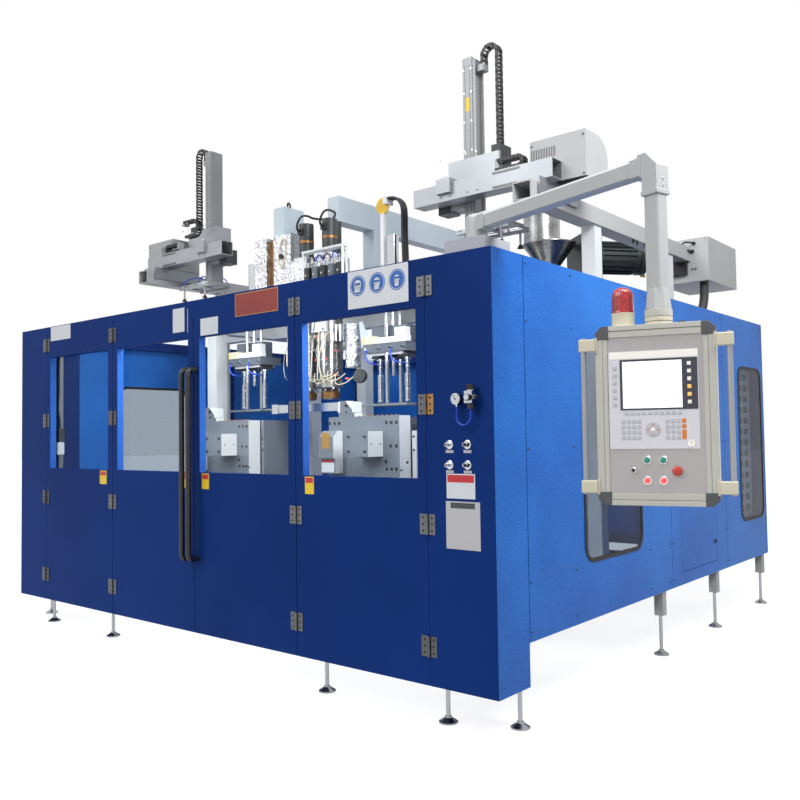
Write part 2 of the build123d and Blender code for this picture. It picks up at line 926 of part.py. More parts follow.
# Blow head: a plate on guide rods with two blow pins, drawn up and down by a cylinder
def blow_head(x):
    y = mould_plane_y
    plate_top = blow_plate_low + blow_plate_height
    plate = bar(x - blow_plate_half_width, x + blow_plate_half_width, y - blow_plate_half_depth,
                y + blow_plate_half_depth, blow_plate_low, plate_top)
    for side in (-1, 1):
        plate -= rod(x, y + side * guide_rod_offset, blow_plate_low, guide_rod_radius + guide_play,
                     blow_plate_height)
    block = bar(x - blow_block_half_width, x + blow_block_half_width, y - blow_block_half_depth,
                y + blow_block_half_depth, plate_top, plate_top + blow_block_height)
    piston = rod(x, y, plate_top + blow_block_height, piston_rod_radius, piston_rod_length)
    pieces = [plate, block, piston]
    for side in (-1, 1):
        pin_x = x + side * cavity_pitch / 2
        pieces.append(rod(pin_x, y, pin_sleeve_top, pin_radius, blow_plate_low - pin_sleeve_top))
        pieces.append(rod(pin_x, y, pin_low, pin_sleeve_radius, pin_sleeve_top - pin_low))
    return pieces


def blow_station(x):
    """The fixed side of one blow head: beam, cylinder, guide rods and stripper plate."""
    y = mould_plane_y
    side = 1 if x > 0 else -1
    beam_low = tower_top - blow_beam_height
    beam = bar(side * blow_beam_inner, side * (tower_x - tower_post / 2), y - blow_beam_half_depth,
               y + blow_beam_half_depth, beam_low, tower_top)
    hole_radius = piston_rod_radius + guide_play
    beam -= rod(x, y, beam_low, hole_radius, blow_beam_height)
    flange_low = beam_low - guide_flange_thickness
    flange_reach = guide_rod_offset + guide_flange_edge
    flanges = bar(x - guide_flange_half, x + guide_flange_half, y - flange_reach, y + flange_reach, flange_low,
                  beam_low)
    flanges -= rod(x, y, flange_low, hole_radius, guide_flange_thickness)
    barrel = rod(x, y, tower_top, cylinder_radius, cylinder_height)
    barrel -= rod(x, y, tower_top, hole_radius, cylinder_height - 20)
    stripper_low = stripper_top - stripper_thickness
    stripper = bar(x - blow_plate_half_width, x + blow_plate_half_width, y - blow_plate_half_depth,
                   y + blow_plate_half_depth, stripper_low, stripper_top)
    pieces = [beam, flanges, barrel]
    for part in (-1, 1):
        stripper -= rod(x + part * cavity_pitch / 2, y, stripper_low, neck_radius, stripper_thickness)
        pieces.append(rod(x, y + part * guide_rod_offset, stripper_top, guide_rod_radius,
                          flange_low - stripper_top))
    pieces.append(stripper)
    return pieces


def transfer_beam():
    """Square bar between the stations, carried by the two stripper plates."""
    z = stripper_top - stripper_thickness / 2
    half = transfer_size / 2
    y0 = transfer_y - half
    y1 = transfer_y + half
    pieces = [bar(-transfer_half_length, transfer_half_length, y0, y1, z - half, z + half)]
    for side in (-1, 1):
        x0 = side * transfer_half_length
        x1 = x0 + side * transfer_block
        block_half = half + 6
        pieces.append(bar(x0, x1, transfer_y - block_half, transfer_y + block_half, z - block_half, z + block_half))
        reach = station_x - blow_plate_half_width - transfer_half_length - transfer_block
        start = min(x1, x1 + side * reach)
        pieces.append(rod_x(start, transfer_y + half / 2, z, stripper_thickness / 2, reach))
    return pieces


# Die head: two annular dies under one distributor, each with its control cylinder
def distributor():
    return bar(-distributor_half_width, distributor_half_width, mould_plane_y - distributor_half_depth,
               mould_plane_y + distributor_half_depth, distributor_low, distributor_high)


def die_head():
    y = mould_plane_y
    pieces = []
    for side in (-1, 1):
        x = side * die_pitch / 2
        neck = die_low + die_neck
        band = die_low + die_band
        outline = Polyline((0, die_low), (die_tip_radius, die_low), (die_tip_radius, die_low + die_lip),
                           (die_neck_radius, neck), (die_neck_radius, band), (die_body_radius, band),
                           (die_body_radius, distributor_low), (0, distributor_low), close=True)
        pieces.append(Pos(x, y, 0) * revolve(Plane.XZ * make_face(outline), Axis.Z))
        flange = bar(x - servo_radius - 12, x + servo_radius + 12, y - servo_radius - 12, y + servo_radius + 12,
                     distributor_high, distributor_high + servo_flange)
        pieces.append(flange)
        pieces.append(rod(x, y, distributor_high + servo_flange, servo_radius, servo_height))
    pieces.append(distributor())
    rear = y + distributor_half_depth
    pieces.append(bar(-top_beam_width / 2, top_beam_width / 2, rear, top_beam_front_y + carrier_thickness,
                      distributor_high - neck_plate, distributor_high))
    pieces.append(bar(-top_beam_width / 2, top_beam_width / 2, top_beam_front_y, top_beam_front_y + carrier_thickness,
                      distributor_high, top_beam_low))
    return pieces


def hose_guide():
    """Post on the right blow beam with a disc and a clamp that hold the hoses."""
    y = mould_plane_y
    post_top = guide_disc_z - guide_disc_radius
    half = guide_disc_thickness / 2
    post = bar(guide_disc_x - guide_post / 2, guide_disc_x + guide_post / 2, y - guide_post / 2, y + guide_post / 2,
               tower_top, post_top)
    disc = rod_y(guide_disc_x, y - half, guide_disc_z, guide_disc_radius, guide_disc_thickness)
    disc += bar(guide_disc_x - guide_post / 2, guide_disc_x + guide_post / 2, y - half, y + half, post_top,
                guide_disc_z)
    edge = guide_disc_x + guide_disc_radius * 0.5
    clamp = bar(edge, guide_clamp_x, y - guide_clamp_depth / 2, y + guide_clamp_depth / 2, guide_clamp_low,
                guide_clamp_high)
    return [post, disc, clamp - disc]


def head_hoses():
    tubes = []
    for index in (-1, 0, 1):
        y = mould_plane_y + index * head_hose_pitch
        tubes.append(hose([(x, y, z) for x, z in head_hose_route], head_hose_radius))
    return tubes


def foil_boxes():
    pieces = []
    y0 = foil_box_front_y
    for x0, x1 in foil_boxes_x:
        pieces.append(bar(x0, x1, y0, y0 + foil_box_depth, tower_top, foil_box_top))
    x0 = foil_boxes_x[1][0]
    pieces.append(bar(x0, x0 + grey_box_width, y0, y0 + foil_box_depth, foil_box_top, foil_box_top + grey_box_height))
    return pieces


def along_extruder(shape):
    """Turn a shape built along +X from the die head onto the extruder's line."""
    return Pos(0, mould_plane_y, 0) * Rot(0, 0, extruder_angle) * shape


def extruder_barrel():
    """Barrel cut off along the distributor's rear face, heater bands, feed throat and its platform."""
    half = throat_size / 2
    end = throat_distance - half
    barrel = along_extruder(rod_x(barrel_start, 0, barrel_z, barrel_radius, end - barrel_start)) - distributor()
    pieces = []
    pitch = (end - bands_start) / band_count
    for index in range(band_count):
        start = bands_start + (index + 0.5) * pitch - band_width / 2
        band = rod_x(start, 0, barrel_z, band_radius, band_width)
        pieces.append(band - rod_x(start, 0, barrel_z, barrel_radius, band_width))
    pieces.append(bar(throat_distance - half, throat_distance + half, -half, half, tower_top + platform_thickness,
                      throat_top))
    reach = gearbox_start + gearbox_length
    pieces.append(bar(throat_distance - half - platform_overhang, reach + platform_overhang, -platform_width / 2,
                      platform_width / 2, tower_top, tower_top + platform_thickness))
    return [barrel] + [along_extruder(piece) for piece in pieces]


def hopper():
    wall = hopper_sheet
    outline = Polyline((hopper_throat_radius - wall, throat_top), (hopper_throat_radius, throat_top),
                       (hopper_throat_radius, throat_top + 20), (hopper_rim_radius, hopper_rim_z),
                       (hopper_rim_radius - wall, hopper_rim_z), (hopper_throat_radius - wall, throat_top + 21),
                       close=True)
    cone = Pos(throat_distance, 0, 0) * revolve(Plane.XZ * make_face(outline), Axis.Z)
    lid = rod(throat_distance, 0, hopper_rim_z, hopper_rim_radius + 6, 8)
    loader = rod(throat_distance - loader_offset, 0, hopper_rim_z + 8, loader_radius, loader_height)
    return [along_extruder(piece) for piece in (cone, lid, loader)]


def extruder_drive():
    low = tower_top + platform_thickness
    end = gearbox_start + gearbox_length
    gearbox = bar(gearbox_start, end, -gearbox_width / 2, gearbox_width / 2, low, gearbox_top)
    flange = rod_x(end, 0, motor_z, motor_flange, motor_flange_thickness)
    body_start = end + motor_flange_thickness
    body = rod_x(body_start, 0, motor_z, motor_radius, motor_length)
    for index in range(fin_count):
        fin = bar(body_start + fin_inset, body_start + motor_length - 2 * fin_inset, -fin_thickness / 2,
                  fin_thickness / 2, motor_radius - 4, motor_radius + fin_height)
        body += Pos(0, 0, motor_z) * Rot(360 * index / fin_count, 0, 0) * fin
    cowl = rod_x(body_start + motor_length, 0, motor_z, motor_radius + fin_height, cowl_length)
    return [along_extruder(piece) for piece in (gearbox, flange, body, cowl)]


def top_beam():
    half = top_beam_width / 2
    pieces = [bar(-half, half, top_beam_front_y, top_beam_rear_y, top_beam_low, top_beam_low + top_beam_height)]
    for y in (tower_mid_y, tower_rear_y):
        pieces.append(bar(-half, half, y - half, y + half, tower_top, top_beam_low))
    return pieces


# Robots: the right one is modelled and mirrored
def tube_x(x0, x1, y, z0, size, wall):
    outer = bar(x0, x1, y - size / 2, y + size / 2, z0, z0 + size)
    return outer - bar(x0, x1, y - size / 2 + wall, y + size / 2 - wall, z0 + wall, z0 + size - wall)


def robot_beam():
    half = robot_beam_width / 2
    wall = robot_beam_wall
    high = robot_beam_low + robot_beam_height
    outer = bar(robot_beam_x - half, robot_beam_x + half, robot_beam_front_y, robot_beam_rear_y, robot_beam_low, high)
    return outer - bar(robot_beam_x - half + wall, robot_beam_x + half - wall, robot_beam_front_y,
                       robot_beam_rear_y, robot_beam_low + wall, high - wall)


def bridge():
    """Saddle on the long beam, cross tube and the drive cover behind it."""
    top = robot_beam_low + robot_beam_height + robot_play
    saddle = bar(robot_beam_x - saddle_width / 2, robot_beam_x + saddle_width / 2, saddle_front_y, saddle_rear_y,
                 top, bridge_low)
    for side in (-1, 1):
        near = robot_beam_x + side * (robot_beam_width / 2 + robot_play)
        saddle += bar(near, near + side * saddle_cheek, saddle_front_y, saddle_rear_y, top - saddle_drop, bridge_low)
    cross = tube_x(bridge_inner_x, bridge_outer_x, bridge_y, bridge_low, bridge_tube, bridge_wall)
    front = bridge_y + bridge_tube / 2
    outer = bar(cover_inner_x, cover_outer_x, front, cover_rear_y, bridge_low, cover_top)
    edge = outer.edges().filter_by(Axis.X).sort_by(Axis.Y)[-2:].sort_by(Axis.Z)[-1]
    outer = fillet(edge, cover_radius)
    sheet = cover_sheet
    inner = bar(cover_inner_x + sheet, cover_outer_x - sheet, front + sheet, cover_rear_y - sheet, bridge_low,
                cover_top - sheet)
    edge = inner.edges().filter_by(Axis.X).sort_by(Axis.Y)[-2:].sort_by(Axis.Z)[-1]
    inner = fillet(edge, cover_radius - sheet)
    return [saddle, cross, outer - inner]


def arm_carriage():
    """Slides along the cross tube: back plate, cap over the tube, gear housing, motor and chain box."""
    near = bridge_y + bridge_tube / 2 + robot_play
    far = mast_y - mast_depth / 2 - robot_play
    tube_top = bridge_low + bridge_tube + robot_play
    mast_left = mast_x - mast_width / 2 - robot_play
    housing_rear = mast_y + mast_depth / 2
    plate = bar(carriage_inner_x, carriage_outer_x, near, far, arm_plate_low, arm_plate_high)
    cap = bar(carriage_inner_x, mast_left, bridge_y - bridge_tube / 2 - robot_play - carriage_cap, near, tube_top,
              tube_top + carriage_cap)
    lip_y = bridge_y - bridge_tube / 2 - robot_play
    lip = bar(carriage_inner_x, mast_left, lip_y - carriage_cap, lip_y, tube_top - bridge_tube * 0.6, tube_top)
    housing = bar(carriage_inner_x, mast_left - 3, far, housing_rear, arm_plate_low - 36, arm_plate_high)
    motor = bar(motor_block_x, carriage_inner_x, far, housing_rear - 20, motor_block_low, motor_block_high)
    chain_box = bar(chain_box_x, carriage_outer_x, far, housing_rear, chain_box_low, chain_end_z)
    return [plate + cap + lip, housing, motor, chain_box]


def arm_chain():
    """Cable chain arched from the mast top over to the chain box."""
    radius = (chain_outer_x - chain_inner_x) / 2
    centre_x = (chain_outer_x + chain_inner_x) / 2
    centre_z = chain_apex - chain_thickness / 2 - radius
    half = chain_thickness / 2
    ring = Pos(centre_x, centre_z) * (Circle(radius + half) - Circle(radius - half))
    lower = Pos(centre_x, centre_z - radius - chain_thickness) * Rectangle(4 * radius, 2 * (radius + chain_thickness))
    arch = ring - lower
    groove = Rectangle(2 * link_groove, link_gap)
    grooves = []
    for x, low in ((chain_inner_x, chain_start_z), (chain_outer_x, chain_end_z)):
        arch += Pos(x, (low + centre_z) / 2) * Rectangle(chain_thickness, centre_z - low)
        links = round((centre_z - low) / link_pitch)
        for index in range(1, links + 1):
            z = low + index * (centre_z - low) / links
            grooves += [Pos(x + side * half, z) * groove for side in (-1, 1)]
    links = round(pi * radius / link_pitch)
    for index in range(1, links):
        turn = Pos(centre_x, centre_z) * Rot(0, 0, 180 * index / links)
        grooves += [turn * Pos(reach, 0) * groove for reach in (radius - half, radius + half)]
    arch -= grooves
    return extrude(Plane.XZ.offset(-mast_y - chain_width / 2) * arch, chain_width)


def arm_mast():
    """Mast tube with rails, its chain bracket and the gripper frame at its foot."""
    half_w = mast_width / 2
    half_d = mast_depth / 2
    wall = mast_wall
    tube = bar(mast_x - half_w, mast_x + half_w, mast_y - half_d, mast_y + half_d, mast_low, mast_top)
    tube -= bar(mast_x - half_w + wall, mast_x + half_w - wall, mast_y - half_d + wall, mast_y + half_d - wall,
                mast_low, mast_top)
    pieces = [tube]
    side_x = mast_x + half_w
    for y in (mast_y - half_d + 8, mast_y + half_d - 8 - mast_rail):
        pieces.append(bar(side_x, side_x + mast_rail, y, y + mast_rail, mast_low + 40, mast_top - 10))
    pieces.append(bar(side_x, chain_inner_x + chain_thickness / 2, mast_y - chain_width / 2,
                      mast_y + chain_width / 2, chain_start_z - 45, chain_start_z))
    x1 = gripper_inner_x + gripper_width
    y0 = mast_y - gripper_depth / 2
    y1 = mast_y + gripper_depth / 2
    low = mast_low - gripper_bar
    bar_w = gripper_bar
    pieces.append(bar(gripper_inner_x, x1, mast_y - half_d, mast_y + half_d, mast_low - 10, mast_low))
    for y in (y0, y1 - bar_w):
        pieces.append(bar(gripper_inner_x, x1, y, y + bar_w, low - 10, low + 10))
    for x in (gripper_inner_x, (gripper_inner_x + x1 - bar_w) / 2, x1 - bar_w):
        pieces.append(bar(x, x + bar_w, y0, y1, low + 10, mast_low - 10))
    for x in (gripper_inner_x + 60, x1 - 60):
        for y in (y0 + bar_w / 2, y1 - bar_w / 2):
            pieces.append(rod(x, y, gripper_low + 24, 8, low - 10 - gripper_low - 24))
            cup = Pos(x, y, gripper_low) * Cone(gripper_cup_radius, 10, 24, align=(Align.CENTER, Align.CENTER, Align.MIN))
            pieces.append(cup)
    return pieces


def control_box():
    x1 = control_box_x + control_box_width
    y0 = robot_beam_rear_y
    y1 = y0 + control_box_depth
    z1 = control_box_low + control_box_height
    sheet = box_sheet
    shell = bar(control_box_x, x1, y0, y1, control_box_low, z1)
    shell -= bar(control_box_x + sheet, x1, y0 + sheet, y1 - sheet, control_box_low + sheet, z1 - sheet)
    lid = bar(x1, x1 + 14, y0, y1, control_box_low, z1)
    return [shell, lid]


# Operator pendant: swivel arm on the right column, and the box below it on its own swivel
def at_arm(shape):
    """Turn a shape built with the arm along +X onto the arm's line."""
    return Pos(plinth_x, plinth_y, 0) * Rot(0, 0, arm_angle) * shape


def arm_end():
    angle = radians(arm_angle)
    return (plinth_x + arm_reach * cos(angle), plinth_y + arm_reach * sin(angle))


def at_pendant(shape):
    """Turn a shape built with the pendant's front towards -Y onto its swivel, which stands off the middle."""
    x, y = arm_end()
    return Pos(x, y, 0) * Rot(0, 0, pendant_angle) * Pos(-swivel_offset, 0, 0) * shape


def arm_base():
    half = plinth_size / 2
    top = enclosure_top + plinth_height
    plinth = bar(plinth_x - half, plinth_x + half, plinth_y - half, plinth_y + half, enclosure_top, top)
    return [plinth, rod(plinth_x, plinth_y, top, plinth_flange_radius, plinth_flange),
            rod(plinth_x, plinth_y, top + plinth_flange, spigot_radius, spigot_height)]


def coupling_split():
    """Height of the swivel gap between the post and the pendant."""
    return pendant_low + pendant_height + coupling_height


def pendant_arm():
    stub_low = enclosure_top + plinth_height + plinth_flange + swivel_gap
    section = RectangleRounded(arm_width, arm_height, arm_edge)
    collar = RectangleRounded(arm_width + 2 * arm_collar, arm_height + 2 * arm_collar, arm_edge + arm_collar)
    centre_z = arm_low + arm_height / 2
    tube_length = arm_reach - 2 * arm_collar_reach
    tube = Pos(arm_collar_reach, 0, centre_z) * extrude(Plane.YZ * section, tube_length)
    first = rod(0, 0, stub_low, stub_radius, stub_top - stub_low)
    first = fillet(first.edges().sort_by(Axis.Z)[-1], stub_radius * 0.5)
    first += Pos(0, 0, centre_z) * extrude(Plane.YZ * collar, arm_collar_reach)
    bore_radius = spigot_radius + swivel_gap
    first -= rod(0, 0, stub_low, bore_radius, spigot_height)
    post_top = arm_low - 2 * arm_collar
    last = rod(arm_reach, 0, post_top, stub_radius, stub_top - post_top)
    last = fillet(last.edges().sort_by(Axis.Z)[-1], stub_radius * 0.5)
    last += Pos(arm_reach - arm_collar_reach, 0, centre_z) * extrude(Plane.YZ * collar, arm_collar_reach)
    split = coupling_split() + swivel_gap
    ring = rod(arm_reach, 0, split, coupling_radius, coupling_height)
    ring -= rod(arm_reach, 0, split, bore_radius, spigot_height)
    post = rod(arm_reach, 0, split + coupling_height, post_radius, post_top - split - coupling_height)
    return [at_arm(piece) for piece in (first, tube, last, ring, post)]


def pendant_bar(x0, x1, y0, y1, z0, z1):
    """A bar with its heights measured from the pendant's lower edge."""
    return bar(x0, x1, y0, y1, pendant_low + z0, pendant_low + z1)


def stud(x, z, radius, y0, y1):
    """A round piece square to the pendant's front, from y0 back to y1."""
    return rod_y(x, y0, pendant_low + z, radius, y1 - y0)


def corner_cap(side, z, rise):
    """Chamfered corner block through the pendant's depth, at its upper or lower edge z."""
    edge = side * pendant_width / 2
    inner = edge - side * rim_corner
    z += pendant_low
    outline = Polygon((inner, z), (edge - side * corner_chamfer, z), (edge, z + rise * corner_chamfer),
                      (edge, z + rise * rim_corner), (inner, z + rise * rim_corner), align=None)
    back = pendant_depth - pendant_front + lid_thickness
    depth = back + pendant_front + corner_proud
    return extrude(Plane.XZ.offset(-back) * outline, depth, dir=(0, -1, 0))


def pendant_housing():
    half = pendant_width / 2
    high = pendant_height
    front = -pendant_front
    back = front + pendant_depth
    sheet = pendant_sheet
    tray = pendant_bar(-half, half, front, back, 0, high)
    tray -= pendant_bar(-half + sheet, half - sheet, front + sheet, back, sheet, high - sheet)
    for x in button_places:
        tray -= stud(x, button_height, button_stem + guide_play, front, front + sheet)
    tray -= stud(stop_place[0], stop_place[1], button_stem + guide_play, front, front + sheet)
    tray -= stud(key_place[0], key_place[1], button_stem + guide_play, front, front + sheet)
    lid = pendant_bar(-half, half, back, back + lid_thickness, 0, high)
    caps = [corner_cap(side, z, rise) for side in (-1, 1) for z, rise in ((0, 1), (high, -1))]
    for cap in caps:
        tray -= cap
        lid -= cap
    pieces = [tray, lid] + caps
    for z in (0, high - rim_width):
        pieces.append(pendant_bar(-half + rim_corner, half - rim_corner, front - rim_proud, front, z, z + rim_width))
    for side in (-1, 1):
        edge = side * half
        pieces.append(pendant_bar(edge - side * rim_width, edge, front - rim_proud, front, rim_corner,
                                  high - rim_corner))
        bar_x = side * (half + handle_bar_out)
        y = front - handle_bar_forward
        grip = rod(bar_x, y, pendant_low + handle_bar_low - 30, handle_bar_radius,
                   handle_bar_high - handle_bar_low + 60)
        far_x = bar_x + side * (handle_bar_radius + grip_block_wall)
        for z in (handle_bar_low, handle_bar_high):
            block = pendant_bar(edge, far_x, y - grip_block_depth / 2, y + grip_block_depth / 2,
                                z - grip_block_height / 2, z + grip_block_height / 2)
            pieces.append(block - grip)
        pieces.append(grip)
    for x in button_places:
        pieces.append(stud(x, lamp_height, lamp_radius, front - 8, front))
    pieces.append(rod(swivel_offset, 0, pendant_low + high, coupling_radius, coupling_height))
    pieces.append(rod(swivel_offset, 0, coupling_split(), spigot_radius, spigot_height))
    return [at_pendant(piece) for piece in pieces]


def keypad_panel():
    front = -pendant_front
    x0 = keypad_offset - keypad_width / 2
    plate = pendant_bar(x0, x0 + keypad_width, front - keypad_plate, front, keypad_low, keypad_low + keypad_height)
    return [at_pendant(plate)]


def push_button(x):
    front = -pendant_front
    gap = button_travel + guide_play
    head = stud(x, button_height, button_radius, front - gap - button_head, front - gap)
    stem = stud(x, button_height, button_stem, front - gap, front + 16)
    return [at_pendant(head + stem)]


def emergency_stop():
    front = -pendant_front
    gap = stop_travel + guide_play
    x, z = stop_place
    head = stud(x, z, stop_radius, front - gap - stop_head, front - gap)
    stem = stud(x, z, button_stem, front - gap, front + 16)
    return [at_pendant(head + stem)]


def key_switch():
    front = -pendant_front
    x, z = key_place
    barrel = stud(x, z, key_radius, front - 8, front - guide_play)
    stem = stud(x, z, button_stem, front - guide_play, front + 16)
    bow = pendant_bar(x - 1.2, x + 1.2, front - 30, front - 8, z - 9, z + 9)
    return [at_pendant(barrel + stem + bow)]


def beacon():
    z = pendant_low + pendant_height
    base = rod(beacon_offset, 0, z, beacon_radius, beacon_base)
    dome = rod(beacon_offset, 0, z + beacon_base, beacon_radius - 1, beacon_dome)
    dome = fillet(dome.edges().sort_by(Axis.Z)[-1], 24)
    return [at_pendant(base), at_pendant(dome)]


# Air service unit on the right column, with the four water fittings under it
def air_service_unit():
    half = unit_size / 2
    back = front_y - unit_stand
    front = back - unit_size
    centre_y = back - half
    pieces = [bar(unit_x - half, unit_x + half, back, front_y, unit_z - half, unit_z + half),
              bar(unit_x - half, unit_x + half, front, back, unit_z - unit_height / 2, unit_z + unit_height / 2),
              rod(unit_x, centre_y, unit_z + unit_height / 2, knob_radius, knob_height),
              rod(unit_x, centre_y, unit_z - unit_height / 2 - bowl_height, bowl_radius, bowl_height)]
    gauge_back = back - 4
    gauge = rod_y(gauge_x, gauge_back - gauge_depth, gauge_z, gauge_radius, gauge_depth)
    gauge += rod(gauge_x, gauge_back - gauge_depth / 2, gauge_stem_low, gauge_stem_radius, gauge_z - gauge_stem_low)
    pieces.append(gauge)
    pieces.append(rod_y(gauge_x, gauge_back, gauge_z, gauge_port_radius, front_y - gauge_back))
    for x, z in fitting_places:
        pieces.append(rod_y(x, front_y - 8, z, fitting_nut, 8))
        pieces.append(rod_y(x, front_y - fitting_length, z, fitting_radius, fitting_length - 8))
    return pieces


def route_radii(route):
    """Bend radius at each inner point: 0.45 of the shorter run over the tangent of half the turn."""
    points = [Vector(*point) for point in route]
    radii = []
    for before, here, after in zip(points, points[1:], points[2:]):
        turn = radians((here - before).get_angle(after - here))
        radii.append(0.45 * min((here - before).length, (after - here).length) / tan(turn / 2))
    return radii


def hose(route, radius):
    radii = route_radii(route)
    path = FilletPolyline(*route, radius=radii)
    start = Vector(*route[0])
    section = Plane(start, z_dir=Vector(*route[1]) - start) * Circle(radius)
    tube = sweep(section, path)
    ratio = tube.volume / (pi * radius ** 2 * path.length)
    print("hose radii", [round(value) for value in radii], "length", round(path.length), "volume ratio", round(ratio, 3))
    return tube


save("corner_columns", *both_sides([corner_column()]))
make_doors()
save("door_handle_b", door_handle(-handle_inset))
save("door_handle_c", door_handle(handle_inset))
make_side_walls()
save("service_door", service_door())
save("service_latch", service_latch())
feet = []
for place in foot_places():
    feet += levelling_foot(*place)
save("levelling_feet", *feet)
save("base_frame", *base_frame(), *bed_and_tower())
save("clamp_rails", *clamp_rails())
save("clamp_carriage_right", *clamp_carriage())
save("clamp_carriage_left", *[flip(piece) for piece in clamp_carriage()])
for side_name, side_x in (("right", station_x), ("left", -station_x)):
    save("front_platen_" + side_name, *front_platen(side_x))
    save("rear_platen_" + side_name, *rear_platen(side_x))
    save("blow_head_" + side_name, *blow_head(side_x))
save("blow_frame", *blow_station(station_x), *blow_station(-station_x), *transfer_beam(), *hose_guide())
save("head_hoses", *head_hoses())
save("die_head", *die_head())
save("foil_boxes", *foil_boxes())
save("extruder_barrel", *extruder_barrel())
save("hopper", *hopper())
save("extruder_drive", *extruder_drive())
save("top_beam", *top_beam())
save("robot_beams", *both_sides([robot_beam()]))
save("control_box", *control_box())
save("box_conduit", hose(conduit_route, conduit_radius) - robot_stand(1, tower_rear_y))
robot_pieces = (("bridge", bridge()), ("arm_carriage", arm_carriage()), ("arm_chain", [arm_chain()]),
                ("arm_mast", arm_mast()))
for name, pieces in robot_pieces:
    save(name + "_right", *pieces)
    save(name + "_left", *[flip(piece) for piece in pieces])
save("arm_base", *arm_base())
save("pendant_arm", *pendant_arm())
save("pendant_housing", *pendant_housing())
save("keypad_panel", *keypad_panel())
save("push_button_left", *push_button(button_places[0]))
save("push_button_right", *push_button(button_places[1]))
save("emergency_stop", *emergency_stop())
save("key_switch", *key_switch())
save("beacon", *beacon())
save("air_service_unit", *air_service_unit())
save("air_hose", hose(hose_route, hose_radius))
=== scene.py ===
from math import atan2, cos, pi, radians, sin

import bmesh
import bpy
from mathutils import Matrix, Vector


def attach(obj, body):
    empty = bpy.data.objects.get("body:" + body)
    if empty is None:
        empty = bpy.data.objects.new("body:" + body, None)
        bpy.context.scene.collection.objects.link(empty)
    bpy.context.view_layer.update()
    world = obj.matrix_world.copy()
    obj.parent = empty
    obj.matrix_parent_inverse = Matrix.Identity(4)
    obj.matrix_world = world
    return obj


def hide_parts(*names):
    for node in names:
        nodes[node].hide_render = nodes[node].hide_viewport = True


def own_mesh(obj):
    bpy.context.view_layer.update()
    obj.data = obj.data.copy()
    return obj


# Metres, X along the doors to the right, Y towards the rear, Z up. Sizes below are in millimetres
# and are turned into metres where a shape is made.
print("blow moulding machine: loading the frame")
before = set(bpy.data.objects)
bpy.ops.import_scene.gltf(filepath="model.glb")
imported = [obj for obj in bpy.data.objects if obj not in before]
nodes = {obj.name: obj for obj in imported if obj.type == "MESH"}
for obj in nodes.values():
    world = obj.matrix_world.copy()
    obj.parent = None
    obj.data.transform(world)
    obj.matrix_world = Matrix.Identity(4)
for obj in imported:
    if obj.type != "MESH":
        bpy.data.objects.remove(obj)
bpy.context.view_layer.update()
scene = bpy.context.scene
scene.view_settings.view_transform = "Standard"
mm = 0.001
hands = {"left": -1, "right": 1}


def intoScene(name, data):
    thing = bpy.data.objects.new(name, data)
    scene.collection.objects.link(thing)
    return thing


# camera at the photograph's place
cameraSetup = {"place": (4.640, -5.550, 1.4785), "yaw": 39.775, "pitch": 2.404, "roll": -0.795, "lens": 37.85}


def makeCamera(setup):
    yaw, pitch, roll = radians(setup["yaw"]), radians(setup["pitch"]), radians(setup["roll"])
    right = Vector((cos(yaw), sin(yaw), 0))
    ahead = Vector((-sin(yaw) * cos(pitch), cos(yaw) * cos(pitch), sin(pitch)))
    up = right.cross(ahead)
    side = right * cos(roll) + up * sin(roll)
    top = up * cos(roll) - right * sin(roll)
    data = bpy.data.cameras.new("camera")
    data.sensor_width = 36.0
    data.lens = setup["lens"]
    data.clip_end = 200
    scene.camera = intoScene("camera", data)
    turn = Matrix((side, top, -ahead)).transposed().to_4x4()
    scene.camera.matrix_world = Matrix.Translation(setup["place"]) @ turn


makeCamera(cameraSetup)


# shader nodes: an input takes either a value or the output of another node
def setInputs(tree, node, inputs):
    for name, value in inputs.items():
        if isinstance(value, bpy.types.NodeSocket):
            tree.links.new(value, node.inputs[name])
        else:
            node.inputs[name].default_value = value
    return node


def addNode(tree, kind, inputs, **settings):
    node = tree.nodes.new("ShaderNode" + kind)
    for name, value in settings.items():
        setattr(node, name, value)
    return setInputs(tree, node, inputs)


def mathNode(tree, operation, *values, clamp=False):
    return addNode(tree, "Math", dict(enumerate(values)), operation=operation, use_clamp=clamp).outputs[0]


def newGroup(name, inputs, outputs):
    group = bpy.data.node_groups.new(name, "ShaderNodeTree")
    for label, (kind, value) in inputs.items():
        socket = group.interface.new_socket(name=label, in_out="INPUT", socket_type="NodeSocket" + kind)
        if value is not None:
            socket.default_value = value
    for label in outputs:
        kind = "NodeSocketColor" if label == "Color" else "NodeSocketFloat"
        group.interface.new_socket(name=label, in_out="OUTPUT", socket_type=kind)
    return group, group.nodes.new("NodeGroupInput").outputs, group.nodes.new("NodeGroupOutput")


def makeDriftGroup():
    # slow change between a colour and its tint, with a fine speckle on top
    group, start, end = newGroup("toneDrift", {
        "Vector": ("Vector", None), "Scale": ("Float", 1.5), "Colour": ("Color", (0.5, 0.5, 0.5, 1)),
        "Tint": ("Color", (0.5, 0.5, 0.5, 1)), "Speckle Scale": ("Float", 300.0), "Speckle": ("Float", 0.1)},
        ("Color", "Mask"))
    slow = addNode(group, "TexNoise", {"Vector": start["Vector"], "Scale": start["Scale"], "Detail": 3})
    fine = addNode(group, "TexNoise", {"Vector": start["Vector"], "Scale": start["Speckle Scale"], "Detail": 1})
    speck = mathNode(group, "MULTIPLY", mathNode(group, "SUBTRACT", fine.outputs[0], 0.5), start["Speckle"])
    stretch = addNode(group, "MapRange", {"Value": slow.outputs[0], "From Min": 0.32, "From Max": 0.68})
    mask = mathNode(group, "ADD", stretch.outputs["Result"], speck, clamp=True)
    mix = addNode(group, "Mix", {"Factor": mask, "A": start["Colour"], "B": start["Tint"]}, data_type="RGBA")
    setInputs(group, end, {"Color": mix.outputs["Result"], "Mask": mask})
    return group


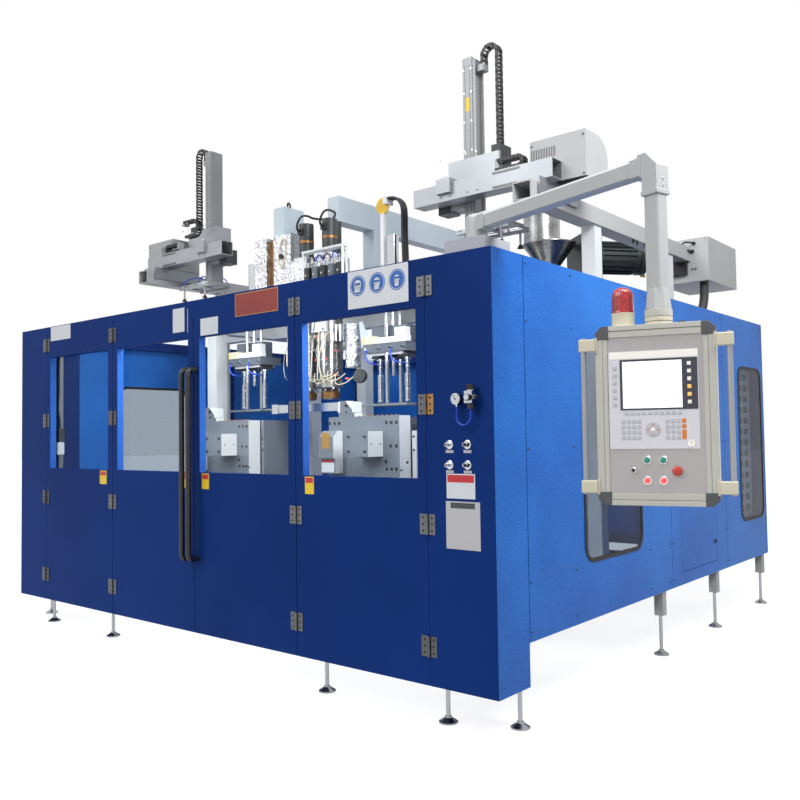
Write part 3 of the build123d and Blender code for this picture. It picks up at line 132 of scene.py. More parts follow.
def makeGrainGroup():
    # fine surface relief and the roughness that goes with it; Stretch draws it out along an axis
    group, start, end = newGroup("surfaceGrain", {
        "Vector": ("Vector", None), "Stretch": ("Vector", (1, 1, 1)), "Scale": ("Float", 400.0),
        "Base": ("Float", 0.4), "Spread": ("Float", 0.1)}, ("Height", "Roughness"))
    scaled = addNode(group, "VectorMath", {0: start["Vector"], 1: start["Stretch"]}, operation="MULTIPLY")
    noise = addNode(group, "TexNoise", {"Vector": scaled.outputs[0], "Scale": start["Scale"], "Detail": 2}).outputs[0]
    spread = mathNode(group, "MULTIPLY", mathNode(group, "SUBTRACT", noise, 0.5), start["Spread"])
    setInputs(group, end, {"Height": noise, "Roughness": mathNode(group, "ADD", spread, start["Base"], clamp=True)})
    return group


def makeCrumpleGroup():
    # creases of wrapped foil: sharp valleys between flat facets
    group, start, end = newGroup("foilCreases", {"Vector": ("Vector", None), "Scale": ("Float", 14.0)},
                                 ("Height", "Roughness"))
    both = {"Vector": start["Vector"], "Scale": start["Scale"]}
    cells = addNode(group, "TexVoronoi", both, feature="DISTANCE_TO_EDGE").outputs[0]
    noise = addNode(group, "TexNoise", {**both, "Detail": 6, "Roughness": 0.65}).outputs[0]
    setInputs(group, end, {"Height": mathNode(group, "MULTIPLY_ADD", cells, 0.8, noise),
                           "Roughness": mathNode(group, "MULTIPLY", noise, 0.42)})
    return group


driftGroup = makeDriftGroup()
grainGroup = makeGrainGroup()
crumpleGroup = makeCrumpleGroup()


def shade(red, green, blue):
    # screen colour 0 to 255, as seen, to the linear value that a shader takes
    def part(value):
        value = value / 255
        return value / 12.92 if value <= 0.04045 else ((value + 0.055) / 1.055) ** 2.4
    return (part(red), part(green), part(blue), 1)


def newMaterial(name):
    material = bpy.data.materials.new(name)
    material.use_nodes = True
    tree = material.node_tree
    return material, tree, tree.nodes["Principled BSDF"]


def placeOn(tree):
    return tree.nodes.new("ShaderNodeTexCoord").outputs["Object"]


def paint(name, colour, tint=None, rough=0.4, spread=0.1, metal=0.0, specular=0.5, coat=0.0, drift=1.5,
          speckle=0.1, speckleScale=300, grain=400, relief=0.0001, stretch=(1, 1, 1), glow=0.0, crumple=0.0):
    material, tree, shader = newMaterial(name)
    place = placeOn(tree)
    tone = addNode(tree, "Group", {
        "Vector": place, "Scale": drift, "Colour": shade(*colour), "Speckle": speckle, "Speckle Scale": speckleScale,
        "Tint": shade(*(tint or [value * 0.92 for value in colour]))}, node_tree=driftGroup)
    if crumple:
        surface = addNode(tree, "Group", {"Vector": place, "Scale": crumple}, node_tree=crumpleGroup)
    else:
        surface = addNode(tree, "Group", {"Vector": place, "Stretch": stretch, "Scale": grain, "Base": rough,
                                          "Spread": spread}, node_tree=grainGroup)
    bump = addNode(tree, "Bump", {"Distance": relief, "Height": surface.outputs["Height"]})
    setInputs(tree, shader, {
        "Base Color": tone.outputs["Color"], "Roughness": surface.outputs["Roughness"], "Normal": bump.outputs[0],
        "Metallic": metal, "Specular IOR Level": specular, "Coat Weight": coat, "Coat Roughness": 0.12})
    if glow:
        setInputs(tree, shader, {"Emission Color": shade(*colour), "Emission Strength": glow})
    return material


def pane(name, colour, rough, seeThrough, ior):
    # glass to the eye, while shadow rays pass so that the inside is lit
    material, tree, shader = newMaterial(name)
    smear = addNode(tree, "Group", {"Vector": placeOn(tree), "Scale": 3.0, "Base": rough, "Spread": rough},
                    node_tree=grainGroup)
    setInputs(tree, shader, {"Base Color": shade(*colour), "Transmission Weight": 1.0, "IOR": ior,
                             "Roughness": smear.outputs["Roughness"]})
    through = addNode(tree, "BsdfTransparent", {"Color": shade(*seeThrough)})
    ray = tree.nodes.new("ShaderNodeLightPath")
    mix = addNode(tree, "MixShader", {0: ray.outputs["Is Shadow Ray"], 1: shader.outputs[0], 2: through.outputs[0]})
    setInputs(tree, tree.nodes["Material Output"], {"Surface": mix.outputs[0]})
    return material


print("blow moulding machine: finishes")
# door blue is painted darker and wall blue lighter than the one paint is: painted shade on the door fronts and painted
# light on the sides, on top of the sides' own textured finish
doorBlue = paint("doorBlue", (18, 53, 122), (15, 46, 108), rough=0.5, specular=0.05, drift=0.9, speckle=0.25,
                 speckleScale=900, grain=900, relief=0.00008)
wallBlue = paint("wallBlue", (38, 120, 212), (18, 88, 178), rough=0.46, specular=0.2, drift=1.1, speckle=1.5,
                 speckleScale=95, grain=420, relief=0.0005)
frameBlue = paint("frameBlue", (19, 52, 126), rough=0.5, specular=0.06, grain=700)
# the +X window returns of the door leaves: the door paint painted lighter, a painted highlight for the key light from
# the right
jambBluePaintedLight = paint("jambBluePaintedLight", (64, 124, 226), rough=0.5, specular=0.06, grain=700)
paneClear = pane("paneClear", (250, 253, 254), 0.004, (240, 246, 249), 1.06)
paneTinted = pane("paneTinted", (150, 160, 172), 0.01, (120, 130, 145), 1.12)
gasketBlack = paint("gasketBlack", (26, 26, 28), rough=0.6, specular=0.3, grain=600, relief=0.0002)
hingeSteel = paint("hingeSteel", (108, 109, 113), (78, 79, 83), rough=0.38, metal=1.0, stretch=(1, 1, 12), grain=90,
                   relief=0.0002, spread=0.25)
screwSteel = paint("screwSteel", (38, 39, 42), metal=0.6, grain=900)
footSteel = paint("footSteel", (176, 178, 182), (140, 142, 146), rough=0.22, metal=1.0, spread=0.2,
                  stretch=(1, 1, 6), grain=120)
legGrey = paint("legGrey", (168, 169, 168), specular=0.4)
handleBlack = paint("handleBlack", (24, 24, 27), (34, 34, 38), rough=0.35, specular=0.45, grain=700)
chrome = paint("chrome", (214, 216, 220), (186, 190, 196), rough=0.1, metal=1.0, spread=0.12, stretch=(1, 1, 5),
               grain=60, relief=0.00005)
hoseBlue = paint("hoseBlue", (28, 74, 214), (22, 62, 190), rough=0.3, grain=300)
hoseBlack = paint("hoseBlack", (26, 26, 28), (36, 36, 40), rough=0.5, specular=0.35, grain=500)
hoseRibbed = paint("hoseRibbed", (30, 30, 32), (44, 44, 46), rough=0.5, grain=260, relief=0.002)
pendantWhite = paint("pendantWhite", (200, 199, 191), (191, 190, 183), specular=0.25, grain=500)
plinthGrey = paint("plinthGrey", (176, 178, 188), (164, 166, 177), rough=0.38, specular=0.3, grain=500)
armGrey = paint("armGrey", (186, 189, 189), (179, 182, 183), rough=0.36, specular=0.3, grain=600)
capGrey = paint("capGrey", (78, 80, 82), (68, 70, 72), rough=0.5, grain=700, relief=0.0002)
sheetSilver = paint("sheetSilver", (176, 172, 172), (166, 162, 163), rough=0.36, metal=0.5, stretch=(1, 1, 14),
                    grain=160, relief=0.00004, spread=0.2)
keypadFilm = paint("keypadFilm", (226, 225, 232), (219, 218, 226), rough=0.34, specular=0.3)
keyFilm = paint("keyFilm", (196, 196, 204), (188, 188, 197), rough=0.35)
keyOrange = paint("keyOrange", (232, 132, 40), (220, 118, 30), rough=0.35)
# pale keys with a faint glow: painted light, as these keys are no lamps
keyWhitePaintedGlow = paint("keyWhitePaintedGlow", (236, 234, 226), rough=0.3, glow=0.25)
keyLit = paint("keyLit", (255, 176, 92), rough=0.3, glow=0.7)
screenDark = paint("screenDark", (52, 54, 66), (60, 62, 74), rough=0.25)
screenLit = paint("screenLit", (252, 253, 255), (248, 250, 255), rough=0.2, glow=0.55)
buttonGreen = paint("buttonGreen", (16, 150, 118), (12, 132, 104), rough=0.25, coat=0.4)
stopRed = paint("stopRed", (196, 62, 46), (182, 52, 38), rough=0.35, coat=0.2)
lampRed = paint("lampRed", (255, 60, 64), (255, 90, 80), rough=0.25, glow=0.9, coat=0.5)
beaconRed = paint("beaconRed", (190, 10, 14), (126, 4, 8), rough=0.12, coat=0.7, drift=26, glow=0.05)
beaconBeige = paint("beaconBeige", (214, 208, 186), (204, 198, 176), rough=0.45)
machineWhite = paint("machineWhite", (226, 229, 231), (214, 218, 221), rough=0.36, specular=0.45, grain=500)
machineGrey = paint("machineGrey", (98, 106, 116), (86, 94, 104), rough=0.38, specular=0.45, grain=500)
darkGrey = paint("darkGrey", (58, 62, 68), (48, 52, 58), specular=0.45, grain=500)
platenSteel = paint("platenSteel", (138, 146, 155), (122, 130, 140), rough=0.36, metal=0.4, spread=0.15,
                    stretch=(6, 1, 1), grain=160, relief=0.00004)
mouldSteel = paint("mouldSteel", (196, 198, 200), (178, 180, 184), rough=0.24, metal=1.0, stretch=(1, 1, 8), grain=50)
headSteel = paint("headSteel", (170, 172, 174), (120, 118, 116), rough=0.25, metal=1.0, spread=0.3, drift=9,
                  stretch=(1, 1, 4), grain=70)
heaterSteel = paint("heaterSteel", (196, 194, 188), (160, 156, 150), rough=0.3, metal=1.0, drift=6, spread=0.25)
brassBrown = paint("brassBrown", (164, 124, 78), (132, 96, 60), rough=0.38, metal=0.9, drift=8, spread=0.25)
foilSilver = paint("foilSilver", (214, 215, 218), (186, 188, 194), metal=1.0, crumple=22, relief=0.012, drift=14)
motorDark = paint("motorDark", (44, 50, 52), (54, 60, 62), rough=0.42, grain=500)
beamGrey = paint("beamGrey", (200, 214, 223), (186, 201, 212), rough=0.36, grain=500)
robotWhite = paint("robotWhite", (178, 179, 180), (168, 169, 171), rough=0.42, specular=0.25, grain=500)
robotAlloy = paint("robotAlloy", (160, 163, 168), (142, 145, 151), rough=0.36, metal=0.6, stretch=(8, 1, 1),
                   grain=160, relief=0.00004, spread=0.2)
mastGrey = paint("mastGrey", (140, 141, 144), (126, 127, 131), rough=0.38, metal=0.4, stretch=(1, 1, 10), grain=160,
                 relief=0.00004)
chainBlack = paint("chainBlack", (30, 31, 34), (22, 23, 26), rough=0.45, grain=500)
signWhite = paint("signWhite", (216, 220, 226), (208, 213, 220), rough=0.35)
signBlue = paint("signBlue", (28, 96, 178), rough=0.35)
signRed = paint("signRed", (150, 44, 30), (132, 36, 26))
signBright = paint("signBright", (196, 40, 48))
signGold = paint("signGold", (196, 152, 88), (176, 132, 70), rough=0.35, metal=0.3)
signYellow = paint("signYellow", (240, 204, 40))
signGrey = paint("signGrey", (188, 188, 192), (178, 178, 183))
hookYellow = paint("hookYellow", (232, 190, 30), rough=0.35)


# shapes: each is made in its own bmesh and added to the piece that it belongs to
def addShape(target, shape, finish=0, turn=None):
    if turn is not None:
        bmesh.ops.transform(shape, matrix=turn, verts=shape.verts)
    for face in shape.faces:
        face.material_index = finish
        face.smooth = True
    mesh = bpy.data.meshes.new("shape")
    shape.to_mesh(mesh)
    shape.free()
    target.from_mesh(mesh)
    bpy.data.meshes.remove(mesh)


def softenEdges(shape, edges, width, segments=2):
    if width:
        bmesh.ops.bevel(shape, geom=edges, offset=width * mm, segments=segments, profile=0.5, affect="EDGES",
                        material=-1)


def addBox(target, x, y, z, bevel=0, finish=0, segments=2, turn=None):
    shape = bmesh.new()
    centre = Vector(((x[0] + x[1]) / 2, (y[0] + y[1]) / 2, (z[0] + z[1]) / 2)) * mm
    size = Vector((abs(x[1] - x[0]), abs(y[1] - y[0]), abs(z[1] - z[0]))) * mm
    bmesh.ops.create_cube(shape, size=1, matrix=Matrix.Translation(centre) @ Matrix.Diagonal(size).to_4x4())
    softenEdges(shape, shape.edges[:], bevel, segments)
    addShape(target, shape, finish, turn)


def addBoxes(target, *rows):
    # rows of x, y and z, each from and to, then the bevel and the finish
    for row in rows:
        addBox(target, *row)


def addRod(target, start, end, radius, endRadius=None, sides=24, bevel=0, finish=0, turn=None):
    shape = bmesh.new()
    a, b = Vector(start) * mm, Vector(end) * mm
    tilt = Vector((0, 0, 1)).rotation_difference(b - a).to_matrix().to_4x4()
    bmesh.ops.create_cone(shape, cap_ends=True, segments=sides, radius1=radius * mm,
                          radius2=(radius if endRadius is None else endRadius) * mm, depth=(b - a).length,
                          matrix=Matrix.Translation((a + b) / 2) @ tilt)
    softenEdges(shape, [edge for edge in shape.edges if any(len(face.verts) > 4 for face in edge.link_faces)], bevel)
    addShape(target, shape, finish, turn)


def addTurned(target, place, profile, sides=32, finish=0, turn=None, axis=(0, 0, 1)):
    # a turned shape: profile holds (radius, height) along the axis from place
    shape = bmesh.new()
    points = [shape.verts.new((radius * mm, 0, height * mm)) for radius, height in profile]
    edges = [shape.edges.new(pair) for pair in zip(points, points[1:])]
    bmesh.ops.spin(shape, geom=points + edges, cent=(0, 0, 0), axis=(0, 0, 1), angle=2 * pi, steps=sides,
                   use_merge=True)
    bmesh.ops.remove_doubles(shape, verts=shape.verts[:], dist=0.00001)
    bmesh.ops.recalc_face_normals(shape, faces=shape.faces[:])
    tilt = Vector((0, 0, 1)).rotation_difference(Vector(axis)).to_matrix().to_4x4()
    bmesh.ops.transform(shape, matrix=Matrix.Translation(Vector(place) * mm) @ tilt, verts=shape.verts)
    addShape(target, shape, finish, turn)


def addFacing(target, place, profile, finish=0, sides=32):
    # a turned shape that stands out to the front
    addTurned(target, place, profile, sides, finish, axis=(0, -1, 0))


def addPrism(target, outline, low, high, plane="XZ", bevel=0, finish=0, turn=None):
    # an outline pushed from low to high across its plane
    shape = bmesh.new()
    order = {"XZ": lambda u, v, w: (u, w, v), "YZ": lambda u, v, w: (w, u, v)}[plane]
    face = shape.faces.new([shape.verts.new(Vector(order(u, v, low)) * mm) for u, v in outline])
    pushed = bmesh.ops.extrude_face_region(shape, geom=[face])
    moved = [item for item in pushed["geom"] if isinstance(item, bmesh.types.BMVert)]
    bmesh.ops.translate(shape, vec=Vector(order(0, 0, high - low)) * mm, verts=moved)
    bmesh.ops.recalc_face_normals(shape, faces=shape.faces[:])
    softenEdges(shape, shape.edges[:], bevel)
    addShape(target, shape, finish, turn)


def makeLine(name, points, radius, sides):
    # a round tube along a smooth line through its points
    curve = bpy.data.curves.new(name, "CURVE")
    curve.dimensions = "3D"
    spline = curve.splines.new("NURBS")
    spline.points.add(len(points) - 1)
    for point, place in zip(spline.points, points):
        point.co = (*(Vector(place) * mm), 1)
    spline.order_u = 3
    spline.use_endpoint_u = True
    curve.resolution_u = 6
    curve.bevel_depth = radius * mm
    curve.bevel_resolution = sides
    curve.use_fill_caps = True
    return intoScene(name, curve)


def addPipe(target, points, radius, finish=0, sides=2):
    # a rigid bent pipe
    holder = makeLine("pipe", points, radius, sides)
    curve = holder.data
    mesh = bpy.data.meshes.new_from_object(holder.evaluated_get(bpy.context.evaluated_depsgraph_get()))
    shape = bmesh.new()
    shape.from_mesh(mesh)
    bpy.data.objects.remove(holder)
    bpy.data.curves.remove(curve)
    bpy.data.meshes.remove(mesh)
    bmesh.ops.remove_doubles(shape, verts=shape.verts[:], dist=0.00001)
    bmesh.ops.recalc_face_normals(shape, faces=shape.faces[:])
    addShape(target, shape, finish)


def addScrew(target, place, radius, axis=(0, -1, 0), finish=0, dark=1):
    # a socket screw: turned head whose recess is painted dark, a painted shade
    addTurned(target, place, [(radius, -0.5), (radius, radius * 0.7), (radius * 0.85, radius * 0.85),
                              (radius * 0.5, radius * 0.85)], sides=12, finish=finish, axis=axis)
    addTurned(target, place, [(radius * 0.5, radius * 0.85), (radius * 0.5, radius * 0.4), (0, radius * 0.4)],
              sides=6, finish=dark, axis=axis)


def around(place, angle, axis="Z"):
    return Matrix.Translation(Vector(place) * mm) @ Matrix.Rotation(angle, 4, axis)


def finishPiece(name, target, body, finishes, replaces=None, angle=32, turn=None):
    if turn is not None:
        bmesh.ops.transform(target, matrix=turn, verts=target.verts)
        if turn.determinant() < 0:
            bmesh.ops.reverse_faces(target, faces=target.faces[:])
    mesh = bpy.data.meshes.new(name)
    target.to_mesh(mesh)
    target.free()
    for finish in finishes:
        mesh.materials.append(finish)
    mesh.set_sharp_from_angle(angle=radians(angle))
    piece = intoScene(name, mesh)
    piece.modifiers.new("evenShading", "WEIGHTED_NORMAL").keep_sharp = True
    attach(piece, body)
    if replaces:
        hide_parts(replaces)
    return piece


def dress(name, *finishes, pick=None):
    # a CAD node keeps its shape and takes its finishes, one for each region that pick tells apart
    mesh = nodes[name].data
    mesh.materials.clear()
    for finish in finishes:
        mesh.materials.append(finish)
    for face in mesh.polygons:
        face.material_index = int(pick(face.center / mm, face.normal)) if pick else 0


print("blow moulding machine: hoses")
headHoses = {"radius": 10, "length": 0.777, "pitch": 24, "middle": -950,
             "route": ((882, 2500), (882, 2645), (879, 2790), (874, 2930), (876, 3031), (874, 3101), (857, 3142),
                       (825, 3174), (784, 3191), (740, 3191))}
conduit = {"radius": 36, "length": 0.75,
           "route": ((2140, 1442, 2720), (2140, 1442, 2593), (2128, 1405, 2472), (2106, 1333, 2370),
                     (2075, 1235, 2295), (2038, 1118, 2256), (2003, 1009, 2256))}
airHose = {"radius": 4, "length": 0.221,
           "route": ((2268, -2160, 1604), (2268, -2160, 1582), (2267, -2160, 1559), (2256, -2161, 1538),
                     (2236, -2161, 1525), (2212, -2160, 1525), (2191, -2158, 1537), (2179, -2156, 1557),
                     (2178, -2155, 1581), (2180, -2154, 1600), (2180, -2154, 1616))}


def makeCord(name, setup, route, finish, node):
    cordPiece = makeLine(name, route, setup["radius"], 4)
    cordPiece.data.materials.append(finish)
    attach(cordPiece, "machine")
    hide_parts(node)


for index in (-1, 0, 1):
    acrossY = headHoses["middle"] + index * headHoses["pitch"]
    makeCord("headHose" + str(index + 2), headHoses, [(x, acrossY, z) for x, z in headHoses["route"]], hoseBlack,
             "head_hoses")
makeCord("boxConduit", conduit, conduit["route"], hoseRibbed, "box_conduit")
makeCord("airHose", airHose, airHose["route"], hoseBlue, "air_hose")


print("blow moulding machine: finishes on the CAD pieces")
doorFront = -2125


# leaf faces: hinge steel in front, and the +X window returns in the painted-light blue
def leafPart(place, normal):
    if place.y < doorFront - 0.3:
        return 1
    return 2 if normal.x > 0.7 and place.y > doorFront + 2 and 1240 < place.z < 2160 else 0


def framePart(place, normal):
    if 255 < place.z < 420.5 and abs(place.x) > 2300 and abs(place.y + 1700) > 500:
        return 2
    return 500.5 < place.z < 2900 and abs(place.x) < 2060 and -1400 < place.y < 1200


def headPart(place, normal):
    if place.z > 2849.5:
        return 2 if place.z > 2880.5 else 3
    return place.z > 2449


def blowPart(place, normal):
    if place.z > 3088:
        return 3 if place.x < 720 and abs(place.y + 950) < 20 else 0
    if place.z > 2500.5:
        return 2 if place.x < -600 or place.x > 700 else 0
    if place.z > 2379:
        return 0
    return 2 if place.z > 1707 or abs(place.x) < 440 else 1


def servicePart(place, normal):
    if place.x > 2220:
        return place.z > 1690 or place.z < 1636
    return abs(place.x - 2180) < 30 and place.z > 1626


def carriagePart(place, normal):
    if abs(place.x) < 1262.5:
        return 1
    return 2 if abs(place.x) > 1599 and place.y > -916 else 0


def mastPart(place, normal):
    if place.z < 2861:
        return 3 if place.z < 2740.5 else 1
    return 2 if 1453.5 < abs(place.x) < 1468 else 0


# the outer side faces of the corner columns take the lighter wall blue: painted light for the key that falls on the
# sides
dress("corner_columns", doorBlue, wallBlue, pick=lambda place, normal: abs(normal.x) > 0.7 and abs(place.x) > 2379)
for letter in "abcd":
    dress("door_leaf_" + letter, doorBlue, hingeSteel, jambBluePaintedLight, pick=leafPart)
    dress("door_window_" + letter, paneClear)
for name, finish in {
        "door_handle_b": handleBlack, "door_handle_c": handleBlack, "right_panels": wallBlue, "left_panels": wallBlue,
        "rear_panels": wallBlue, "service_door": wallBlue, "side_window_panes": paneTinted,
        "side_window_gaskets": gasketBlack, "service_latch": hingeSteel, "clamp_rails": chrome, "hopper": headSteel,
        "extruder_drive": motorDark, "top_beam": beamGrey, "robot_beams": robotWhite, "control_box": robotWhite,
        "arm_base": plinthGrey, "pendant_arm": armGrey, "keypad_panel": keypadFilm, "push_button_left": buttonGreen,
        "push_button_right": buttonGreen, "emergency_stop": stopRed, "key_switch": chrome,
        "levelling_feet": footSteel}.items():
    dress(name, finish)
dress("base_frame", frameBlue, machineWhite, legGrey, pick=framePart)
dress("die_head", headSteel, foilSilver, motorDark, machineWhite, pick=headPart)
dress("extruder_barrel", heaterSteel, machineWhite, pick=lambda place, normal: place.z < 2513)
dress("blow_frame", machineWhite, platenSteel, chrome, hookYellow, pick=blowPart)
dress("air_service_unit", chrome, handleBlack, pick=servicePart)
dress("frame_hinges", hingeSteel, brassBrown, pick=lambda place, normal: place.x > 1969 and abs(place.z - 1637) < 56)
dress("foil_boxes", foilSilver, beamGrey, pick=lambda place, normal: place.z > 3105.5 and place.x > -472)
for hand in hands:
    dress("bridge_" + hand, robotAlloy, robotWhite,
          pick=lambda place, normal: place.y > -941 and abs(place.x) > 1905 and place.z > 3042.5)
    dress("arm_carriage_" + hand, robotAlloy, darkGrey, chainBlack, pick=carriagePart)
    dress("arm_mast_" + hand, mastGrey, robotAlloy, robotWhite, gasketBlack, pick=mastPart)
    dress("clamp_carriage_" + hand, platenSteel, machineWhite,
          pick=lambda place, normal: abs(place.x) > 1099 and place.z > 871)
    for front in ("front", "rear"):
        # outside the moulds, the +X faces of the platens are painted white: painted light for the key from the right
        dress(front + "_platen_" + hand, platenSteel, mouldSteel, machineWhite,
              pick=lambda place, normal: 1 if abs(place.y + 950) < 224.9 else (2 if normal.x > 0.7 else 0))
    dress("blow_head_" + hand, machineGrey, chrome, pick=lambda place, normal: not 2069.9 <= place.z <= 2262.1)


print("blow moulding machine: operator pendant")
pendant = {"place": (3.29546, -2.30982, 1.189), "turn": 17.0, "swivel": 14, "half": 229, "high": 715, "front": -60,
           "back": 52, "rim": 47, "corner": 53, "chamfer": 25, "bar": (277, -67, 11), "barEnds": (43, 670),
           "blocks": (73, 640), "ring": (54, 31)}
atPendant = (Matrix.Translation(pendant["place"]) @ Matrix.Rotation(radians(pendant["turn"]), 4, "Z")
             @ Matrix.Translation((-pendant["swivel"] * mm, 0, 0)))


def makePendantCasing(setup):
    half, high, front, back = setup["half"], setup["high"], setup["front"], setup["back"]
    rim, corner, chamfer = setup["rim"], setup["corner"], setup["chamfer"]
    casing = bmesh.new()
    shell = [(half - chamfer, 2), (half - 2, chamfer), (half - 2, high - chamfer), (half - chamfer, high - 2)]
    addPrism(casing, shell + [(-x, z) for x, z in reversed(shell)], front + 1, back, bevel=1.5)
    addBox(casing, (-half + rim, half - rim), (front - 0.5, front + 2), (rim, high - rim), finish=1)
    across, upright = (corner - 1 - half, half - corner + 1), (corner - 1, high - corner + 1)
    # rails of the rim, a proud one outside and a lower one inside, joined round the corners by dark caps
    for edge, way in ((0, 1), (high, -1)):
        split = edge + way * rim * 0.46
        addBoxes(casing, (across, (front - 7, front + 1), (edge, split - way), 1.6),
                 (across, (front - 5.5, front + 1), (split + way, edge + way * rim), 1.2),
                 (across, (front, back), (edge, edge + way * 4), 1))
    for side in (-1, 1):
        edge, inner = side * half, side * (half - corner)
        addBoxes(casing, ((edge, side * (half - rim * 0.6)), (front - 7, front + 1), upright, 1.6),
                 ((side * (half - rim * 0.62), side * (half - rim)), (front - 5.5, front + 1), upright, 1.2),
                 ((edge, side * (half - 4)), (front, back), upright, 1))
        for level, rise in ((0, 1), (high, -1)):
            cap = [(inner, level), (edge - side * chamfer, level), (edge, level + rise * chamfer),
                   (edge, level + rise * corner), (inner, level + rise * corner)]
            addPrism(casing, cap, front - 9, back, bevel=2.5, finish=2)
        barX, barY, barRadius = setup["bar"]
        addRod(casing, (side * barX, barY, setup["barEnds"][0]), (side * barX, barY, setup["barEnds"][1]), barRadius,
               bevel=1.5, finish=3)
        for level in setup["blocks"]:
            addBox(casing, (edge, side * (barX + 16)), (barY - 14, barY + 14), (level - 25, level + 25), 4, 4, 3)
            addBox(casing, (side * (half - 8), edge), (barY - 6, barY + 14), (level - 31, level + 31), 2, 4)
    # swivel ring and the small knob beside it
    middle, (ring, tall) = setup["swivel"], setup["ring"]
    addRod(casing, (middle, 0, high), (middle, 0, high + tall), ring, bevel=3, sides=40, finish=4)
    addRod(casing, (middle, 0, high + 12), (middle, 0, high + 14), ring + 0.6, sides=40, finish=2)
    addRod(casing, (102, 10, high - 1), (102, 10, high + 14), 15, 13, bevel=2, finish=5)
    finishPiece("pendantCasing", casing, "pendant",
                [pendantWhite, sheetSilver, capGrey, robotAlloy, beaconBeige, handleBlack],
                "pendant_housing", turn=atPendant)


makePendantCasing(pendant)

keypad = {"left": -185, "right": 169, "high": 635, "front": -64.2, "scale": 0.96, "wheel": (-12, 311)}


def makeKeypad(setup):
    # the keys are laid out on a sheet 354 mm wide, which is set to the panel's own size
    face, scale = setup["front"], setup["scale"]
    keys = bmesh.new()

    def addKeys(x, z, width, high, finish, proud=1.0, count=(1, 1), pitch=(0, 0)):
        # a field of like keys: columns go to the right and rows go down
        for column in range(count[0]):
            for row in range(count[1]):
                left, low = x + pitch[0] * column - width / 2, z - pitch[1] * row - high / 2
                addBox(keys, (left, left + width), (face - proud, face + 0.4), (low, low + high), 1.2, finish)
    header = (setup["left"] + 4, setup["right"] - 2), (face - 0.5, face + 0.4), (604, setup["high"] - 2)
    addBoxes(keys, (*header, 0.4, 4), ((-140, 165), (face - 1.4, face + 0.4), (392, 601), 1, 2),
             ((-129, 105), (face - 1.9, face - 1.2), (399, 592), 0.4, 3),
             ((-19, -5), (face - 1.8, face), (304, 318), 1, 4),
             ((132.8, 137.2), (face - 1.6, face), (245, 263), 0.5, 6))
    for index in range(6):
        addKeys(133, 577 - 31.2 * index, 15, 15, 5 if index in (3, 4) else 4, 2.4)
    addKeys(-161, 566, 16, 15, 0, count=(1, 6), pitch=(0, 30.3))
    addKeys(-116, 377, 16, 11, 0, count=(10, 1), pitch=(23.4, 0))
    addKeys(-129, 345, 15, 15, 0, count=(4, 4), pitch=(21, 22.3))
    addKeys(45.4, 345, 15, 15, 0, count=(3, 4), pitch=(21.3, 22.3))
    addKeys(109, 345, 16, 16, 1, count=(1, 2), pitch=(0, 22))
    addKeys(109, 290, 16, 38, 1)
    # round field with four arrows, and the round key below the screen
    wheel = (setup["wheel"][0], face, setup["wheel"][1])
    addFacing(keys, wheel, [(30, 0), (30, 1), (28, 1.2), (12, 1.2), (11, 0.6), (0, 0.6)])
    for turn in range(4):
        addPrism(keys, [(-5, 18), (5, 18), (0, 25)], -1.9, -0.4, finish=1, turn=around(wheel, turn * pi / 2, "Y"))
    addFacing(keys, (135, face, 254), [(14, 0), (14, 1.4), (12, 1.6), (11, 0.8), (0, 0.8)], 4)
    finishPiece("keypadKeys", keys, "pendant",
                [keyFilm, keyOrange, screenDark, screenLit, keyWhitePaintedGlow, keyLit, chrome],
                turn=atPendant @ Matrix.Diagonal((scale, 1, scale, 1)))


makeKeypad(keypad)

controls = {"buttons": ((-38, 178), (23, 178)), "lamps": ((-38, 99), (23, 99)), "stop": (75, 136),
            "key": (-91, 139), "front": -60}


